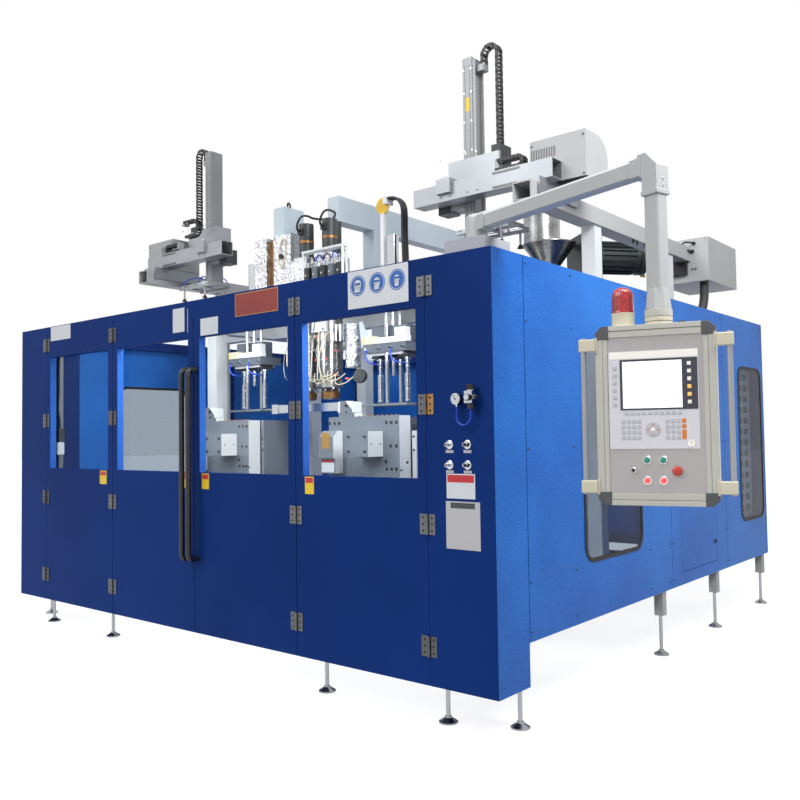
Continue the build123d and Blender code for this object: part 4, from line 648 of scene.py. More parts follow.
def makeControls(setup):
    face = setup["front"] - 0.5
    fixed = bmesh.new()
    for x, z in setup["buttons"]:
        addFacing(fixed, (x, face, z), [(11.8, 0), (17, 0), (17, 2.5), (15.5, 4), (12.2, 4), (11.8, 2), (11.8, 0)])
        addFacing(fixed, (x, face, z), [(0, 0), (6, 0), (6, 5.8), (0, 5.8)])
    for x, z in setup["lamps"]:
        addFacing(fixed, (x, face, z), [(0, 0), (17, 0), (17, 2.5), (15, 4), (13, 4), (0, 4)])
        addFacing(fixed, (x, face, z), [(0, 3), (12, 3), (12, 6.5), (9, 8.6), (4, 9.6), (0, 9.8)], 1)
    stopX, stopZ = setup["stop"]
    addFacing(fixed, (stopX, face, stopZ), [(0, 0), (16, 0), (16, 0.3), (12, 0.4), (12, 4.6), (0, 4.6)], 2)
    finishPiece("pendantBezels", fixed, "pendant", [chrome, lampRed, darkGrey], turn=atPendant)
    # the moving heads are hollow, so that they slide over their necks when pressed
    for name, (x, z) in zip(("left", "right"), setup["buttons"]):
        head = bmesh.new()
        addFacing(head, (x, face + 0.5, z), [(0, 11.4), (7, 11.4), (7, 5.8), (10.8, 5.8), (10.8, 11.2), (9.4, 12.2),
                                             (5, 12.5), (0, 12.6)])
        finishPiece("pushButton" + name.title(), head, "push_button_" + name, [buttonGreen],
                    "push_button_" + name, turn=atPendant)
    mushroom = bmesh.new()
    addFacing(mushroom, (stopX, face + 0.5, stopZ), [(0, 10.4), (12.6, 10.4), (12.6, 6.2), (15, 6), (19, 9), (19, 13),
                                                     (17.4, 16.4), (12, 18.6), (5, 19.2), (0, 19.3)])
    finishPiece("stopMushroom", mushroom, "emergency_stop", [stopRed], "emergency_stop", turn=atPendant)
    lock = bmesh.new()
    x, z = setup["key"]
    addFacing(lock, (x, face + 0.5, z), [(0, 0), (11, 0), (11, 6.5), (9.5, 8), (8, 8), (7.4, 6.6), (0, 6.6)])
    addBox(lock, (x - 1.2, x + 1.2), (face - 29, face - 6), (z - 8.6, z + 8.6), 0.8, 1)
    addFacing(lock, (x, face - 2, z), [(0, 0), (7, 0), (7, 6.4), (5, 7), (0, 7)], 2)
    finishPiece("keyLock", lock, "key_switch", [chrome, hingeSteel, handleBlack], "key_switch",
                turn=atPendant)


makeControls(controls)

beacon = {"offset": -125, "radius": 47, "base": 56, "dome": 107, "ribs": 28}


def makeBeacon(setup):
    low, radius, base, ribs = pendant["high"], setup["radius"], setup["base"], setup["ribs"]
    lamp = bmesh.new()
    socket = [(0, 0), (radius, 0), (radius, 6), (radius - 2, 8), (radius - 2, base - 8), (radius - 1, base - 6),
              (radius - 1, base), (0, base)]
    addTurned(lamp, (setup["offset"], 0, low), socket, 40, 1)
    # the dome is drawn in between its ribs
    dome = [(radius - 1, 0), (radius - 1, 7), (radius - 3, 9), (radius - 4, 68), (radius - 7, 84),
            (radius - 15, 97), (radius - 27, 104), (radius - 40, setup["dome"] - 0.4), (0, setup["dome"])]
    shell = bmesh.new()
    addTurned(shell, (0, 0, 0), dome, ribs * 4)
    for vert in shell.verts:
        if 0.009 < vert.co.z < 0.1 and vert.co.xy.length > 0.02:
            turn = atan2(vert.co.y, vert.co.x)
            vert.co.xy *= 1 - 0.02 * (1 + cos(turn * ribs)) * min(1, (vert.co.z - 0.008) / 0.01)
    addShape(lamp, shell, 0, Matrix.Translation(Vector((setup["offset"], 0, low + base)) * mm))
    finishPiece("beaconLamp", lamp, "pendant", [beaconRed, beaconBeige], "beacon", 60, atPendant)


makeBeacon(beacon)


print("blow moulding machine: hinges and plates on the doors")
hinges = {"lines": {-1964: ("machine", "door_a"), -982: ("door_a", "door_b"), 982: ("door_c", "door_d"),
                    1964: ("door_d", "machine")},
          "levels": (400, 1020, 1637, 2252), "pitch": 34, "out": 29, "front": -2129}


def makeHingeScrews(setup):
    screws = {}
    for line, owners in setup["lines"].items():
        for side, body in zip((-1, 1), owners):
            target = screws.setdefault(body, bmesh.new())
            for level in setup["levels"]:
                for step in (-1, 0, 1):
                    place = (line + side * setup["out"], setup["front"], level + step * setup["pitch"])
                    addFacing(target, place, [(0, 0.2), (3, 0.2), (3.6, 1.1), (6, 1.1), (6.4, 0.4), (6.4, -0.4)],
                              sides=14)
    for body, target in screws.items():
        finishPiece("hingeScrews_" + body, target, body, [screwSteel])


makeHingeScrews(hinges)

# each plate: body, x from and to, z from and to, field, header; the red one has a gold border
plates = {"thick": 1.5, "border": 5, "list": (
    ("door_d", (1420, 1857), (2185, 2395), "white", None), ("door_c", (434, 839), (2244, 2389), "red", None),
    ("door_c", (77, 261), (2155, 2268), "white", None), ("door_b", (-230, -99), (2200, 2364), "white", None),
    ("door_a", (-1896, -1589), (2281, 2395), "white", None),
    ("door_a", (-1155, -1063), (1145, 1246), "yellow", "bright"),
    ("door_b", (-112, -62), (1145, 1246), "yellow", "bright"),
    ("door_c", (86, 160), (1145, 1246), "yellow", "bright"),
    ("door_d", (1060, 1133), (1145, 1246), "yellow", "bright"),
    ("machine", (2088, 2263), (1158, 1282), "white", "bright"),
    ("machine", (2082, 2290), (906, 1144), "grey", "dark"))}


def makePlates(setup):
    fields = {"white": signWhite, "red": signRed, "gold": signGold, "yellow": signYellow, "bright": signBright,
              "grey": signGrey, "dark": darkGrey, "blue": signBlue}
    numbers = {name: index for index, name in enumerate(fields)}
    front = doorFront - setup["thick"]
    sheets = {}
    for body, x, z, field, header in setup["list"]:
        target = sheets.setdefault(body, bmesh.new())
        rim = setup["border"] if field == "red" else 0
        if rim:
            addBox(target, x, (front, doorFront + 0.5), z, 0.6, numbers["gold"])
        addBox(target, (x[0] + rim, x[1] - rim), (front - (0.6 if rim else 0), doorFront + 0.5),
               (z[0] + rim, z[1] - rim), 0.6, numbers[field])
        if header:
            share, inset = (0.3, 6) if header == "bright" else (0.12, 30)
            addBox(target, (x[0] + inset, x[1] - inset), (front - 0.5, front + 0.5),
                   (z[1] - 6 - (z[1] - z[0]) * share, z[1] - 6), 0.3, numbers[header])
    # three blue discs with pale inner shapes on the sheet of the right leaf
    target, blue, white = sheets["door_d"], numbers["blue"], numbers["white"]
    for index in range(3):
        x, y, z, small = 1496 + 142 * index, front + 0.3, 2311, 4 * index
        addFacing(target, (x, y, z), [(0, 0.9), (57, 0.9), (58, 0)], blue, 40)
        addFacing(target, (x, y, z), [(49, 0.9), (49, 1.4), (52, 1.4), (52, 0.9)], white, 40)
        addFacing(target, (x, y, z + 6), [(0, 1.4), (27 - small, 1.4), (27 - small, 0.6)], white, 28)
        addBoxes(target, ((x - 20 + small, x + 20 - small), (front - 1.1, front), (z - 36, z - 4), 4, white),
                 ((x - 22, x + 22), (front - 1.6, front - 0.8), (z + 4, z + 15), 3, blue))
    # a pale slot cover beside the seam of the doors
    addBox(sheets["door_b"], (-66, -60), (front - 0.1, doorFront + 0.5), (2190, 2350), 0.6, numbers["grey"])
    for body, target in sheets.items():
        finishPiece("plates_" + body, target, body, fields.values())


makePlates(plates)

serviceUnit = {"gauge": (2180, 1656), "gaugeRadius": 28, "gaugeFront": -2167, "valve": (2268, 1662), "size": 46,
               "fittings": ((2110, 1428), (2220, 1428), (2110, 1326), (2220, 1326))}


def makeServiceDetails(setup):
    unit = bmesh.new()
    x, z = setup["gauge"]
    front, radius = setup["gaugeFront"], setup["gaugeRadius"]
    addFacing(unit, (x, front + 3, z), [(radius - 4, 0), (radius + 0.5, 0), (radius + 0.5, 4), (radius - 2, 5.5),
                                        (radius - 4, 4), (radius - 4, 0)])
    addFacing(unit, (x, front, z), [(0, 0.6), (radius - 4, 0.6), (radius - 4, 0)], 1)
    for index in range(11):
        addBox(unit, (-0.7, 0.7), (-1.2, -0.5), (radius - 10, radius - 6), 0, 2,
               turn=around((x, front, z), radians(-135 + 27 * index), "Y"))
    addPrism(unit, [(-2, -6), (2, -6), (0.5, radius - 8), (-0.5, radius - 8)], -2, -1.2, finish=2,
             turn=around((x, front, z), radians(-40), "Y"))
    addRod(unit, (x, front - 0.4, z), (x, front - 3, z), 3, finish=2, sides=14)
    # regulator: ribbed knob, collar, elbows at both sides and a small gauge in front
    x, z = setup["valve"]
    middle = doorFront - 12 - setup["size"] / 2
    for index in range(20):
        addBox(unit, (18, 20.5), (-1.6, 1.6), (36, 58), 0.6, 2, turn=around((x, middle, z), index * pi / 10))
    addRod(unit, (x, middle, z + 30), (x, middle, z + 35), 20)
    for side in (-1, 1):
        addRod(unit, (x + side * 22, middle, z), (x + side * 38, middle, z), 11, bevel=1.5, finish=2)
        addRod(unit, (x + side * 20, middle, z), (x + side * 25, middle, z), 14, sides=6)
    addRod(unit, (x, middle - 22, z - 2), (x, middle - 30, z - 2), 7)
    addRod(unit, (x, middle - 28, z - 2), (x, middle - 38, z - 2), 17, bevel=1.5, finish=2)
    addFacing(unit, (x, middle - 38, z - 2), [(0, 0.5), (14, 0.5), (14, 0)], 1)
    # collars and label plates of the four fittings
    for x, z in setup["fittings"]:
        addFacing(unit, (x, doorFront, z), [(11, 0), (22, 0), (22, 2), (19, 3.5), (13, 3.5), (11, 2), (11, 0)])
        addRod(unit, (x, -2140, z), (x, -2152, z), 12.2, sides=6)
        addRod(unit, (x, -2158.5, z), (x, -2160, z), 6, finish=2, sides=16)
        addBox(unit, (x - 24, x + 24), (-2126.2, -2124.6), (z - 42, z - 27), 0.5, 3)
    finishPiece("serviceDetails", unit, "machine", [chrome, signWhite, handleBlack, signGrey])


makeServiceDetails(serviceUnit)


print("blow moulding machine: clamps and platens")
# x is measured from the middle of the station
station = {"middle": 760, "front": -1290, "headFront": -1060, "block": (78, -1440, 102), "guard": (-262, -1385.5),
           "lowPlate": -1366,
           "holes": ((-314, 1568), (-269, 1568), (-223, 1568), (213, 1565), (256, 1565), (300, 1565), (248, 1408),
                     (298, 1408), (214, 1255), (255, 1255), (295, 1255), (205, 1305), (-305, 1110), (-305, 960),
                     (214, 1000), (255, 1000), (295, 1000))}


def makePlatenFittings(setup, hand):
    sign = hands[hand]
    atStation = Matrix.Translation((sign * setup["middle"] * mm, 0, 0))
    front = setup["front"]
    fittings = bmesh.new()
    # holes: a steel ring round a dark disc, the disc being painted shade inside the hole
    for x, z in setup["holes"]:
        addFacing(fittings, (x, front, z), [(9, -0.5), (9, 0.9), (12, 0.9), (12.5, 0), (12.5, -0.5)], sides=16)
        addFacing(fittings, (x, front, z), [(9, 0.7), (0, 0.7)], 1, 16)
    blockX, blockY, reach = setup["block"]
    for side in (-1, 1):
        for z in (1375, 1473):
            addScrew(fittings, (blockX + side * (reach - 30), blockY, z), 9)
        addScrew(fittings, (blockX + reach, -1365 + side * 45, 1424), 5, (1, 0, 0))
        # jaws of the clamp bracket
        addBox(fittings, (-152 + side * 76, -152 + side * 60), (-1300, -1215), (1640, 1716), 3, 2)
    x, y = setup["guard"]
    low = setup["lowPlate"]
    addBoxes(fittings, ((x - 36, x + 36), (y - 2, y + 0.6), (1394, 1502), 0.8, 3),
             ((x - 60, x + 60), (low - 1.6, low + 0.5), (1228, 1296), 0.5, 4),
             ((x - 60, x + 60), (low - 1.8, low + 0.5), (1298, 1313), 0.5, 5))
    for index in range(9):
        addScrew(fittings, (-55 + 42 * index, -1262, 1612), 8, (0, 0, 1), 3)
    addScrew(fittings, (-152, -1291, 1690), 11)
    addScrew(fittings, (-152, -1291, 1645), 7)
    # cooling couplings in the flank of the mould
    for z in (1140, 1240, 1340, 1440):
        for y in (-1150, -1105):
            addRod(fittings, (260, y, z), (276, y, z), 8, finish=3, sides=6)
            addRod(fittings, (276, y, z), (284, y, z), 5, sides=12)
    finishPiece("platenFittings" + hand.title(), fittings, "front_platen_" + hand,
                [hingeSteel, handleBlack, machineWhite, signGold, signWhite, signBright],
                turn=atStation)
    carriage = bmesh.new()
    for z in (930, 1080, 1250, 1380, 1470):
        addScrew(carriage, (355, -1310 if z < 1340 else -1175, z), 7)
    for z in (940, 1060, 1180, 1300):
        for y in (-1270, -1000, -700):
            addScrew(carriage, (sign * 370, y, z), 9, (sign, 0, 0))
    finishPiece("carriageScrews" + hand.title(), carriage, "clamp_" + hand, [hingeSteel, handleBlack],
                turn=atStation)


def makeBlowFittings(setup, hand):
    front = setup["headFront"]
    head = bmesh.new()
    addBoxes(head, ((-196, -84), (front + 2, front + 58), (2133, 2190), 3, 3),
             ((-206, -190), (front + 2, front + 58), (2133, 2190), 3, 4),
             ((-84, 206), (front + 6, front + 56), (2134, 2176), 2, 2),
             ((100, 196), (front - 1, front + 60), (2176, 2236), 3, 2),
             ((-150, 150), (-1033, -1015), (2050, 2070), 2, 2), ((-150, 150), (-885, -867), (2050, 2070), 2, 2))
    for x in (-170, -60, 60, 170):
        addScrew(head, (x, front, 2101), 9)
        addRod(head, (x + 22, front + 1, 2090), (x + 22, front - 9, 2090), 6, sides=6)
    for x in (-127, 0, 127):
        addBox(head, (x - 42, x + 42), (-1006, -894), (2034, 2070), 3, 5)
        for side in (-30, 30):
            addRod(head, (x + side, -1006, 2052), (x + side, -1016, 2052), 6, sides=6)
    for x in (-127, 127):
        for low, high, radius in ((2016, 2034, 27), (1960, 1972, 19), (1905, 1914, 26), (1864, 1870, 26),
                                  (1800, 1806, 26), (1718, 1730, 25.5)):
            addRod(head, (x, -950, low), (x, -950, high), radius, bevel=1, sides=28)
    addRod(head, (0, -950, 1905), (0, -950, 2036), 16)
    # blue air lines, each from a nipple in the plate to a nipple on its pin
    for a, b, pin in ((-156, -81, -127), (78, 160, 127)):
        addPipe(head, ((a, front - 6, 2090), (a, front - 26, 2074), (a + 8, front - 28, 2024),
                       (a + 34, front - 14, 1994), (b - 18, front + 22, 1988), (pin, -982, 1990)), 5.5, 6, 3)
    finishPiece("blowFittings" + hand.title(), head, "blow_head_" + hand,
                [chrome, handleBlack, machineWhite, beaconBeige, hookYellow, darkGrey, hoseBlue],
                turn=Matrix.Translation((hands[hand] * setup["middle"] * mm, 0, 0)))


for hand in hands:
    makePlatenFittings(station, hand)
    makeBlowFittings(station, hand)


print("blow moulding machine: die head")
# y is measured from the middle of the dies
dieHead = {"dies": (-127, 127), "y": -950, "bands": (1850, 2110, 2200, 2290, 2380), "leads": 22}


def makeDieHead(setup):
    head = bmesh.new()
    for x in setup["dies"]:
        for index, z in enumerate(setup["bands"]):
            radius = 99 if index else 92
            addTurned(head, (x, 0, z), [(radius - 6, 0), (radius, 0), (radius, 62), (radius - 6, 62)], 36, index % 2)
            for turn in (0.2, 2.2, 4.1):
                spin = around((x, 0, z), turn)
                addBox(head, (radius - 3, radius + 9), (-14, 14), (14, 46), 2, turn=spin)
                addRod(head, (radius + 5, -22, 30), (radius + 5, 22, 30), 4, finish=4, sides=8, turn=spin)
        addTurned(head, (x, 0, 1768), [(62, 0), (70, 0), (72, 20), (72, 46), (66, 54)], 36, 5)
        for turn in range(8):
            spin = around((x, 0, 1822), turn * pi / 4 + 0.2)
            addRod(head, (74, 0, 0), (74, 0, 14), 6, finish=4, sides=6, turn=spin)
    # junction box, foil jacket and the pale sheet beside the dies
    addBox(head, (46, 190), (-122, -92), (2268, 2357), 3, 2)
    for x in (64, 172):
        addScrew(head, (x, -122, 2288), 6, finish=3, dark=3)
    addTurned(head, (338, 26, 1990), [(0, 0), (58, 0), (60, 14), (56, 60), (60, 120), (57, 200), (60, 290), (58, 330),
                                      (0, 332)], 40, 6)
    addTurned(head, (270, -48, 2190), [(0, 0), (40, 0), (40, 124), (0, 124)], 36, 4)
    addPrism(head, [(404, 2326), (440, 2332), (560, 2070), (548, 2030), (500, 2036), (430, 2140)], 20, 23, finish=7)
    addTurned(head, (434, 10, 1920), [(0, 0), (52, 0), (54, 8), (54, 30), (50, 36), (0, 36)], finish=8,
              axis=(0.2, -1, 0.1))
    # red pilot lamps on the band terminals
    for x, z, depth in ((227, 1942, 60), (236, 1938, 56), (348, 1905, 62), (358, 1905, 58), (-30, 1946, 70),
                        (92, 2230, 104), (180, 2060, 100), (60, 2060, 96), (240, 2120, 60), (-210, 1960, 60)):
        addFacing(head, (x, -depth, z), [(0, 0), (6, 0), (6, 6), (4, 9), (0, 10)], 9, 14)
        addRod(head, (x, 30 - depth, z), (x, -depth, z), 7, finish=4, sides=12)
    finishPiece("headBands", head, "machine", [heaterSteel, headSteel, machineWhite, handleBlack, chrome, brassBrown,
                                               foilSilver, beamGrey, darkGrey, lampRed],
                turn=Matrix.Translation((0, setup["y"] * mm, 0)))


def makeHeadLeads(setup):
    # braided heater leads, tied to the head along their whole run
    leads = bmesh.new()
    for index in range(setup["leads"]):
        turn = index * 2.4
        x = -210 + 20 * index + 26 * sin(turn)
        low = 1880 + 130 * (1 + sin(turn * 1.7))
        high = 2250 + 110 * (1 + cos(turn * 1.3))
        out = -88 - 26 * (1 + sin(turn * 0.9))
        sway = 46 * sin(turn * 2.1)
        addPipe(leads, ((x, -82, low + 34), (x + sway * 0.4, out - 14, low), (x + sway, out - 30, low + 40),
                        (x + sway * 1.5, out - 18, (low + high) / 2), (x + sway * 0.6, out, high - 50),
                        (x + 14, out + 16, high)), 3.2 if index % 3 else 5, index % 3)
    for x, z in ((180, 1925), (250, 1910), (330, 1880), (110, 1900)):
        addPipe(leads, ((x - 70, -84, z + 60), (x - 60, -112, z - 4), (x, -128, z - 26), (x + 70, -108, z - 8),
                        (x + 86, -60, z + 34)), 4)
    finishPiece("headLeads", leads, "machine", [beaconBeige, hingeSteel, signWhite],
                turn=Matrix.Translation((0, setup["y"] * mm, 0)))


makeDieHead(dieHead)
makeHeadLeads(dieHead)

switchBox = {"post": (-1976, -1938), "y": (-2030, -1992), "box": (-1968, -1884)}


def makeSwitchBox(setup):
    # profile, cable and switch boxes inside the left column
    box = bmesh.new()
    post, left, right, front = setup["post"], *setup["box"], setup["y"][0]
    middle = sum(post) / 2
    addBoxes(box, (post, setup["y"], (420, 2392), 3), ((left, right), (front - 26, front + 20), (1466, 1572), 5, 1),
             ((left + 2, right - 2), (front - 30, front + 20), (1360, 1460), 4, 3))
    for side in (-1, 1):
        addBox(box, (middle + side * 9, middle + side * 6), (front - 0.5, front + 1), (424, 2388), finish=2)
    for z in (1498, 1540):
        addRod(box, (left + 52, front - 25, z), (left + 52, front - 36, z), 11, bevel=1.5, finish=2)
    for z in (1400, 1520):
        addRod(box, (left - 10, front - 4, z), (left + 2, front - 4, z), 9, finish=2, sides=6)
    addPipe(box, [(x, front - out, z) for x, out, z in (
        (-1922, 2, 1570), (-1922, 2, 1640), (-1938, 10, 1740), (-1926, 8, 1880), (-1930, 8, 2060), (-1924, 4, 2220),
        (-1926, 4, 2390))], 8, 2, 3)
    finishPiece("switchBox", box, "machine", [robotAlloy, hingeSteel, hoseBlack, signWhite])


makeSwitchBox(switchBox)


print("blow moulding machine: robots")
chain = {"inner": 1513, "outer": 1630, "apex": 4110, "start": 3985, "end": 3394, "thick": 26, "wide": 60,
         "y": -850, "pitch": 26}
# the left robot is the mirror image of the right one
mirrors = {"left": Matrix.Scale(-1, 4, (1, 0, 0)), "right": None}


def chainLine(setup):
    # middle line of the cable chain from the mast bracket over the top and down to its box
    radius = (setup["outer"] - setup["inner"]) / 2
    middle = (setup["outer"] + setup["inner"]) / 2
    high = setup["apex"] - setup["thick"] / 2 - radius
    line = [(setup["inner"], setup["start"] + (high - setup["start"]) * part, 90) for part in (0.25, 0.75)]
    bends = round(pi * radius / setup["pitch"])
    for index in range(bends):
        turn = pi - pi * (index + 0.5) / bends
        line.append((middle + radius * cos(turn), high + radius * sin(turn), turn * 180 / pi - 90))
    drop = high - setup["end"]
    steps = round(drop / setup["pitch"])
    return line + [(setup["outer"], high - drop * (index + 0.5) / steps, 90) for index in range(steps)]


def addLinks(target, line, y, halfWide, finish=0, pins=None):
    # chain links along a line of places: x, z and turn in degrees
    for index, (x, z, turn) in enumerate(line):
        place = around((x, y, z), -radians(turn), "Y")
        inset = 2.5 if index % 2 else 0
        for side in (-1, 1):
            edge = side * (halfWide - inset)
            addBox(target, (-14, 14), (edge, edge - side * 3), (-12.5, 12.5), 2.5, finish, turn=place)
            addBox(target, (-5.5, 5.5), (-halfWide + 3, halfWide - 3), (side * 13, side * 10), 1, finish, turn=place)
            if pins:
                addRod(target, (0, edge - side, 0), (0, edge + side * (0.4 if inset else 0), 0), 5, sides=10,
                       finish=pins, turn=place)


def makeChain(setup, hand):
    links = bmesh.new()
    addLinks(links, chainLine(setup), setup["y"], setup["wide"] / 2, pins=1)
    piece = finishPiece("cableChain" + hand.title(), links, "arm_carriage_" + hand, [chainBlack, darkGrey],
                        "arm_chain_" + hand, turn=mirrors[hand])
    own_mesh(piece)


robot = {"coverFront": -940, "mastFront": -915}


def makeBridgeDetails(setup, hand):
    cover = setup["coverFront"]
    bridge = bmesh.new()
    # vent slots as dark strips on the cover front: painted shade of the openings
    for index in range(15):
        addBox(bridge, (1917 + index * 12, 1922 + index * 12), (cover - 0.6, cover + 1), (3206, 3272), 0.5, 1)
    for x in (1924, 2284):
        for z in (3058, 3300):
            addScrew(bridge, (x, cover, z), 6, finish=2)
    # cover edges, bearing rails and the cable chain on the outer end of the cross beam
    addBoxes(bridge, ((1909, 2298), (cover - 1.2, cover + 1), (3042, 3050), 0.6),
             ((2297, 2299), (-936, -650), (3044, 3052), 0.5), ((1700, 1900), (-1064, -1059), (3049, 3063), 1, 2),
             ((1700, 1900), (-1064, -1059), (3141, 3155), 1, 2), ((1700, 1722), (-1030, -970), (3162, 3252), 3))
    bend = [180 * (index + 0.5) / 5 for index in range(5)]
    addLinks(bridge, [(1712 + 26 * index, 3176, 0) for index in range(6)]
             + [(1868 + 30 * sin(radians(turn)), 3206 - 30 * cos(radians(turn)), turn) for turn in bend]
             + [(1855 - 26 * index, 3236, 180) for index in range(6)], -1000, 30, 3)
    finishPiece("bridgeDetails" + hand.title(), bridge, "bridge_" + hand,
                [robotWhite, handleBlack, hingeSteel, chainBlack], turn=mirrors[hand])


def makeMastDetails(setup, hand):
    # nothing stands further out than the play of the carriage, through which the mast slides
    mast = bmesh.new()
    front = setup["mastFront"]
    for x in (1396, 1434):
        addBox(mast, (x - 1.5, x + 1.5), (front - 0.4, front + 1), (2900, 3990), finish=1)
    for z in (3010, 3200, 3400, 3600, 3800, 3960):
        for x in (1386, 1444):
            addFacing(mast, (x, front, z), [(0, 0.2), (2, 0.2), (2, 0.4), (5, 0.4), (5, -0.5), (0, -0.5)], 2, 12)
    if hand == "right":
        addBox(mast, (1399, 1431), (front - 0.4, front + 0.5), (3672, 3766), 0.2, 3)
    # gripper frame: air block, rails, and blue lines to the cups
    addBoxes(mast, ((1480, 1560), (-900, -820), (2852, 2892), 4, 2), ((1352, 1752), (-970, -960), (2852, 2858), 1, 2),
             ((1352, 1752), (-740, -730), (2852, 2858), 1, 2))
    for index in range(4):
        x, y, start = 1370 + 120 * index, -962 if index % 2 else -738, 1500 + 14 * index
        addPipe(mast, ((start, -860, 2890), (start, -870, 2926), ((x + 1500) / 2, (y - 860) / 2, 2930), (x, y, 2900),
                       (x, y, 2846)), 5, 4)
        addRod(mast, (x, y, 2828), (x, y, 2858), 9, finish=2, sides=16)
    finishPiece("mastDetails" + hand.title(), mast, "arm_mast_" + hand,
                [mastGrey, darkGrey, chrome, signYellow, hoseBlue], turn=mirrors[hand])


def makeArmCarriageDetails(hand):
    carriage = bmesh.new()
    for x in (1285, 1360, 1500, 1580):
        for z in (3070, 3320):
            addScrew(carriage, (x, -1062, z), 6, finish=1, dark=2)
    addBox(carriage, (1290, 1360), (-1062, -1058), (3150, 3210), 1, 3)
    if hand == "left":
        bend = [180 * (index + 0.5) / 8 for index in range(8)]
        addLinks(carriage, [(1500 - 26 * index, 3378, 180) for index in range(5)]
                 + [(1384 - 66 * sin(radians(turn)), 3312 + 66 * cos(radians(turn)), 180 - turn) for turn in bend]
                 + [(1397 + 26 * index, 3246, 0) for index in range(4)], -1088, 28, 4)
        addBox(carriage, (1490, 1530), (-1118, -1058), (3350, 3362), 1)
    finishPiece("carriageDetails" + hand.title(), carriage, "arm_carriage_" + hand,
                [robotAlloy, chrome, handleBlack, signWhite, chainBlack], turn=mirrors[hand])


for hand in hands:
    makeChain(chain, hand)
    makeBridgeDetails(robot, hand)
    makeMastDetails(robot, hand)
    makeArmCarriageDetails(hand)


print("blow moulding machine: pendant arm")
arm = {"place": (2.215, -2.0, 0), "turn": -16, "reach": 1124, "low": 2520, "high": 2595, "wide": 66, "chamfer": 14,
       "post": (71, 62), "split": 1935.5, "ring": (54, 31), "stub": (58, 2477, 2604)}


def makeSwingArm(setup):
    reach, low, high, half, cut = setup["reach"], setup["low"], setup["high"], setup["wide"] / 2, setup["chamfer"]
    tube = bmesh.new()

    # the tube and its two collars: start, end, growth and bevel
    for start, end, grow, bevel in ((60, reach - 50, 0, 0), (20, 96, 7, 1.5), (reach - 96, reach - 40, 7, 1.5)):
        right = [(half + grow - 3, low - grow), (half + grow, low - grow + 3), (half + grow, high + grow - cut),
                 (half + grow - cut, high + grow)]
        addPrism(tube, right + [(-y, z) for y, z in reversed(right)], start, end, "YZ", bevel)
    radius, stubLow, top = setup["stub"]
    addTurned(tube, (0, 0, 0), [(0, stubLow), (radius, stubLow), (radius, top - 26), (radius - 4, top - 14),
                                (radius - 12, top - 5), (radius - 24, top), (0, top)], 48)
    addRod(tube, (0, 0, stubLow), (0, 0, stubLow + 8), radius + 4, bevel=2, sides=48)
    # box elbow with a cut corner, its lip, the square post and the tapered foot above the swivel ring
    elbow = [(reach - 58, low - 7), (reach - 38, low - 14), (reach - 38, 2436), (reach + 38, 2436),
             (reach + 38, 2546), (reach - 14, 2604), (reach - 58, 2604)]
    addPrism(tube, elbow, -38, 38, bevel=4)
    addBox(tube, (reach - 41, reach + 41), (-41, 41), (2428, 2448), 3)
    for z in (2462, 2490):
        addScrew(tube, (reach + 38, 0, z), 4, (1, 0, 0), 1, 2)
    (postWide, postDeep), (ring, tall), split = setup["post"], setup["ring"], setup["split"]
    addBox(tube, (reach - postWide / 2, reach + postWide / 2), (-postDeep / 2, postDeep / 2), (split + tall, 2440), 9,
           segments=4)
    foot = bmesh.new()
    bmesh.ops.create_cone(foot, cap_ends=True, segments=8, radius1=0.053, radius2=0.044, depth=0.082,
                          matrix=around((reach, 0, split + tall + 41), pi / 8))
    softenEdges(foot, foot.edges[:], 3)
    addShape(tube, foot)
    addRod(tube, (reach, 0, split), (reach, 0, split + tall), ring, bevel=3, sides=48, finish=3)
    atArm = Matrix.Translation(setup["place"]) @ Matrix.Rotation(radians(setup["turn"]), 4, "Z")
    finishPiece("swingArm", tube, "pendant_arm", [armGrey, chrome, handleBlack, pendantWhite],
                "pendant_arm", turn=atArm)


makeSwingArm(arm)


print("blow moulding machine: control box, panels and what shows above them")
upper = {"boxFront": 1350, "foilFront": -985, "side": 2380}


def makeBoxDetails(front):
    # plate, two cable glands with their leads, and screws on the front of the control box
    box = bmesh.new()
    addBoxes(box, ((1908, 2040), (front - 34, front + 1), (2781, 2952), 3, 1),
             ((1914, 2034), (front - 36, front - 33), (2787, 2946), 1, 1))
    for x, z in ((2096, 3038), (2084, 2972)):
        addRod(box, (x, front + 1, z), (x, front - 10, z), 17, finish=1, sides=6)
        addRod(box, (x, front - 8, z), (x, front - 26, z), 13, 10, finish=1)
        addPipe(box, ((x, front - 24, z), (x - 4, front - 60, z - 2), (x - 50, front - 84, z + 6),
                      (x - 80, front - 60, 3020), (x - 84, front - 40, 3004)), 7, 2, 3)
    for x in (2080, 2106):
        addRod(box, (x, front + 1, 2823), (x, front - 1, 2823), 9, finish=1, sides=20)
    for x in (1802, 2192):
        for z in (2732, 3068):
            addScrew(box, (x, front, z), 5, finish=3)
    finishPiece("controlBoxDetails", box, "machine", [robotWhite, handleBlack, hoseBlack, chrome])


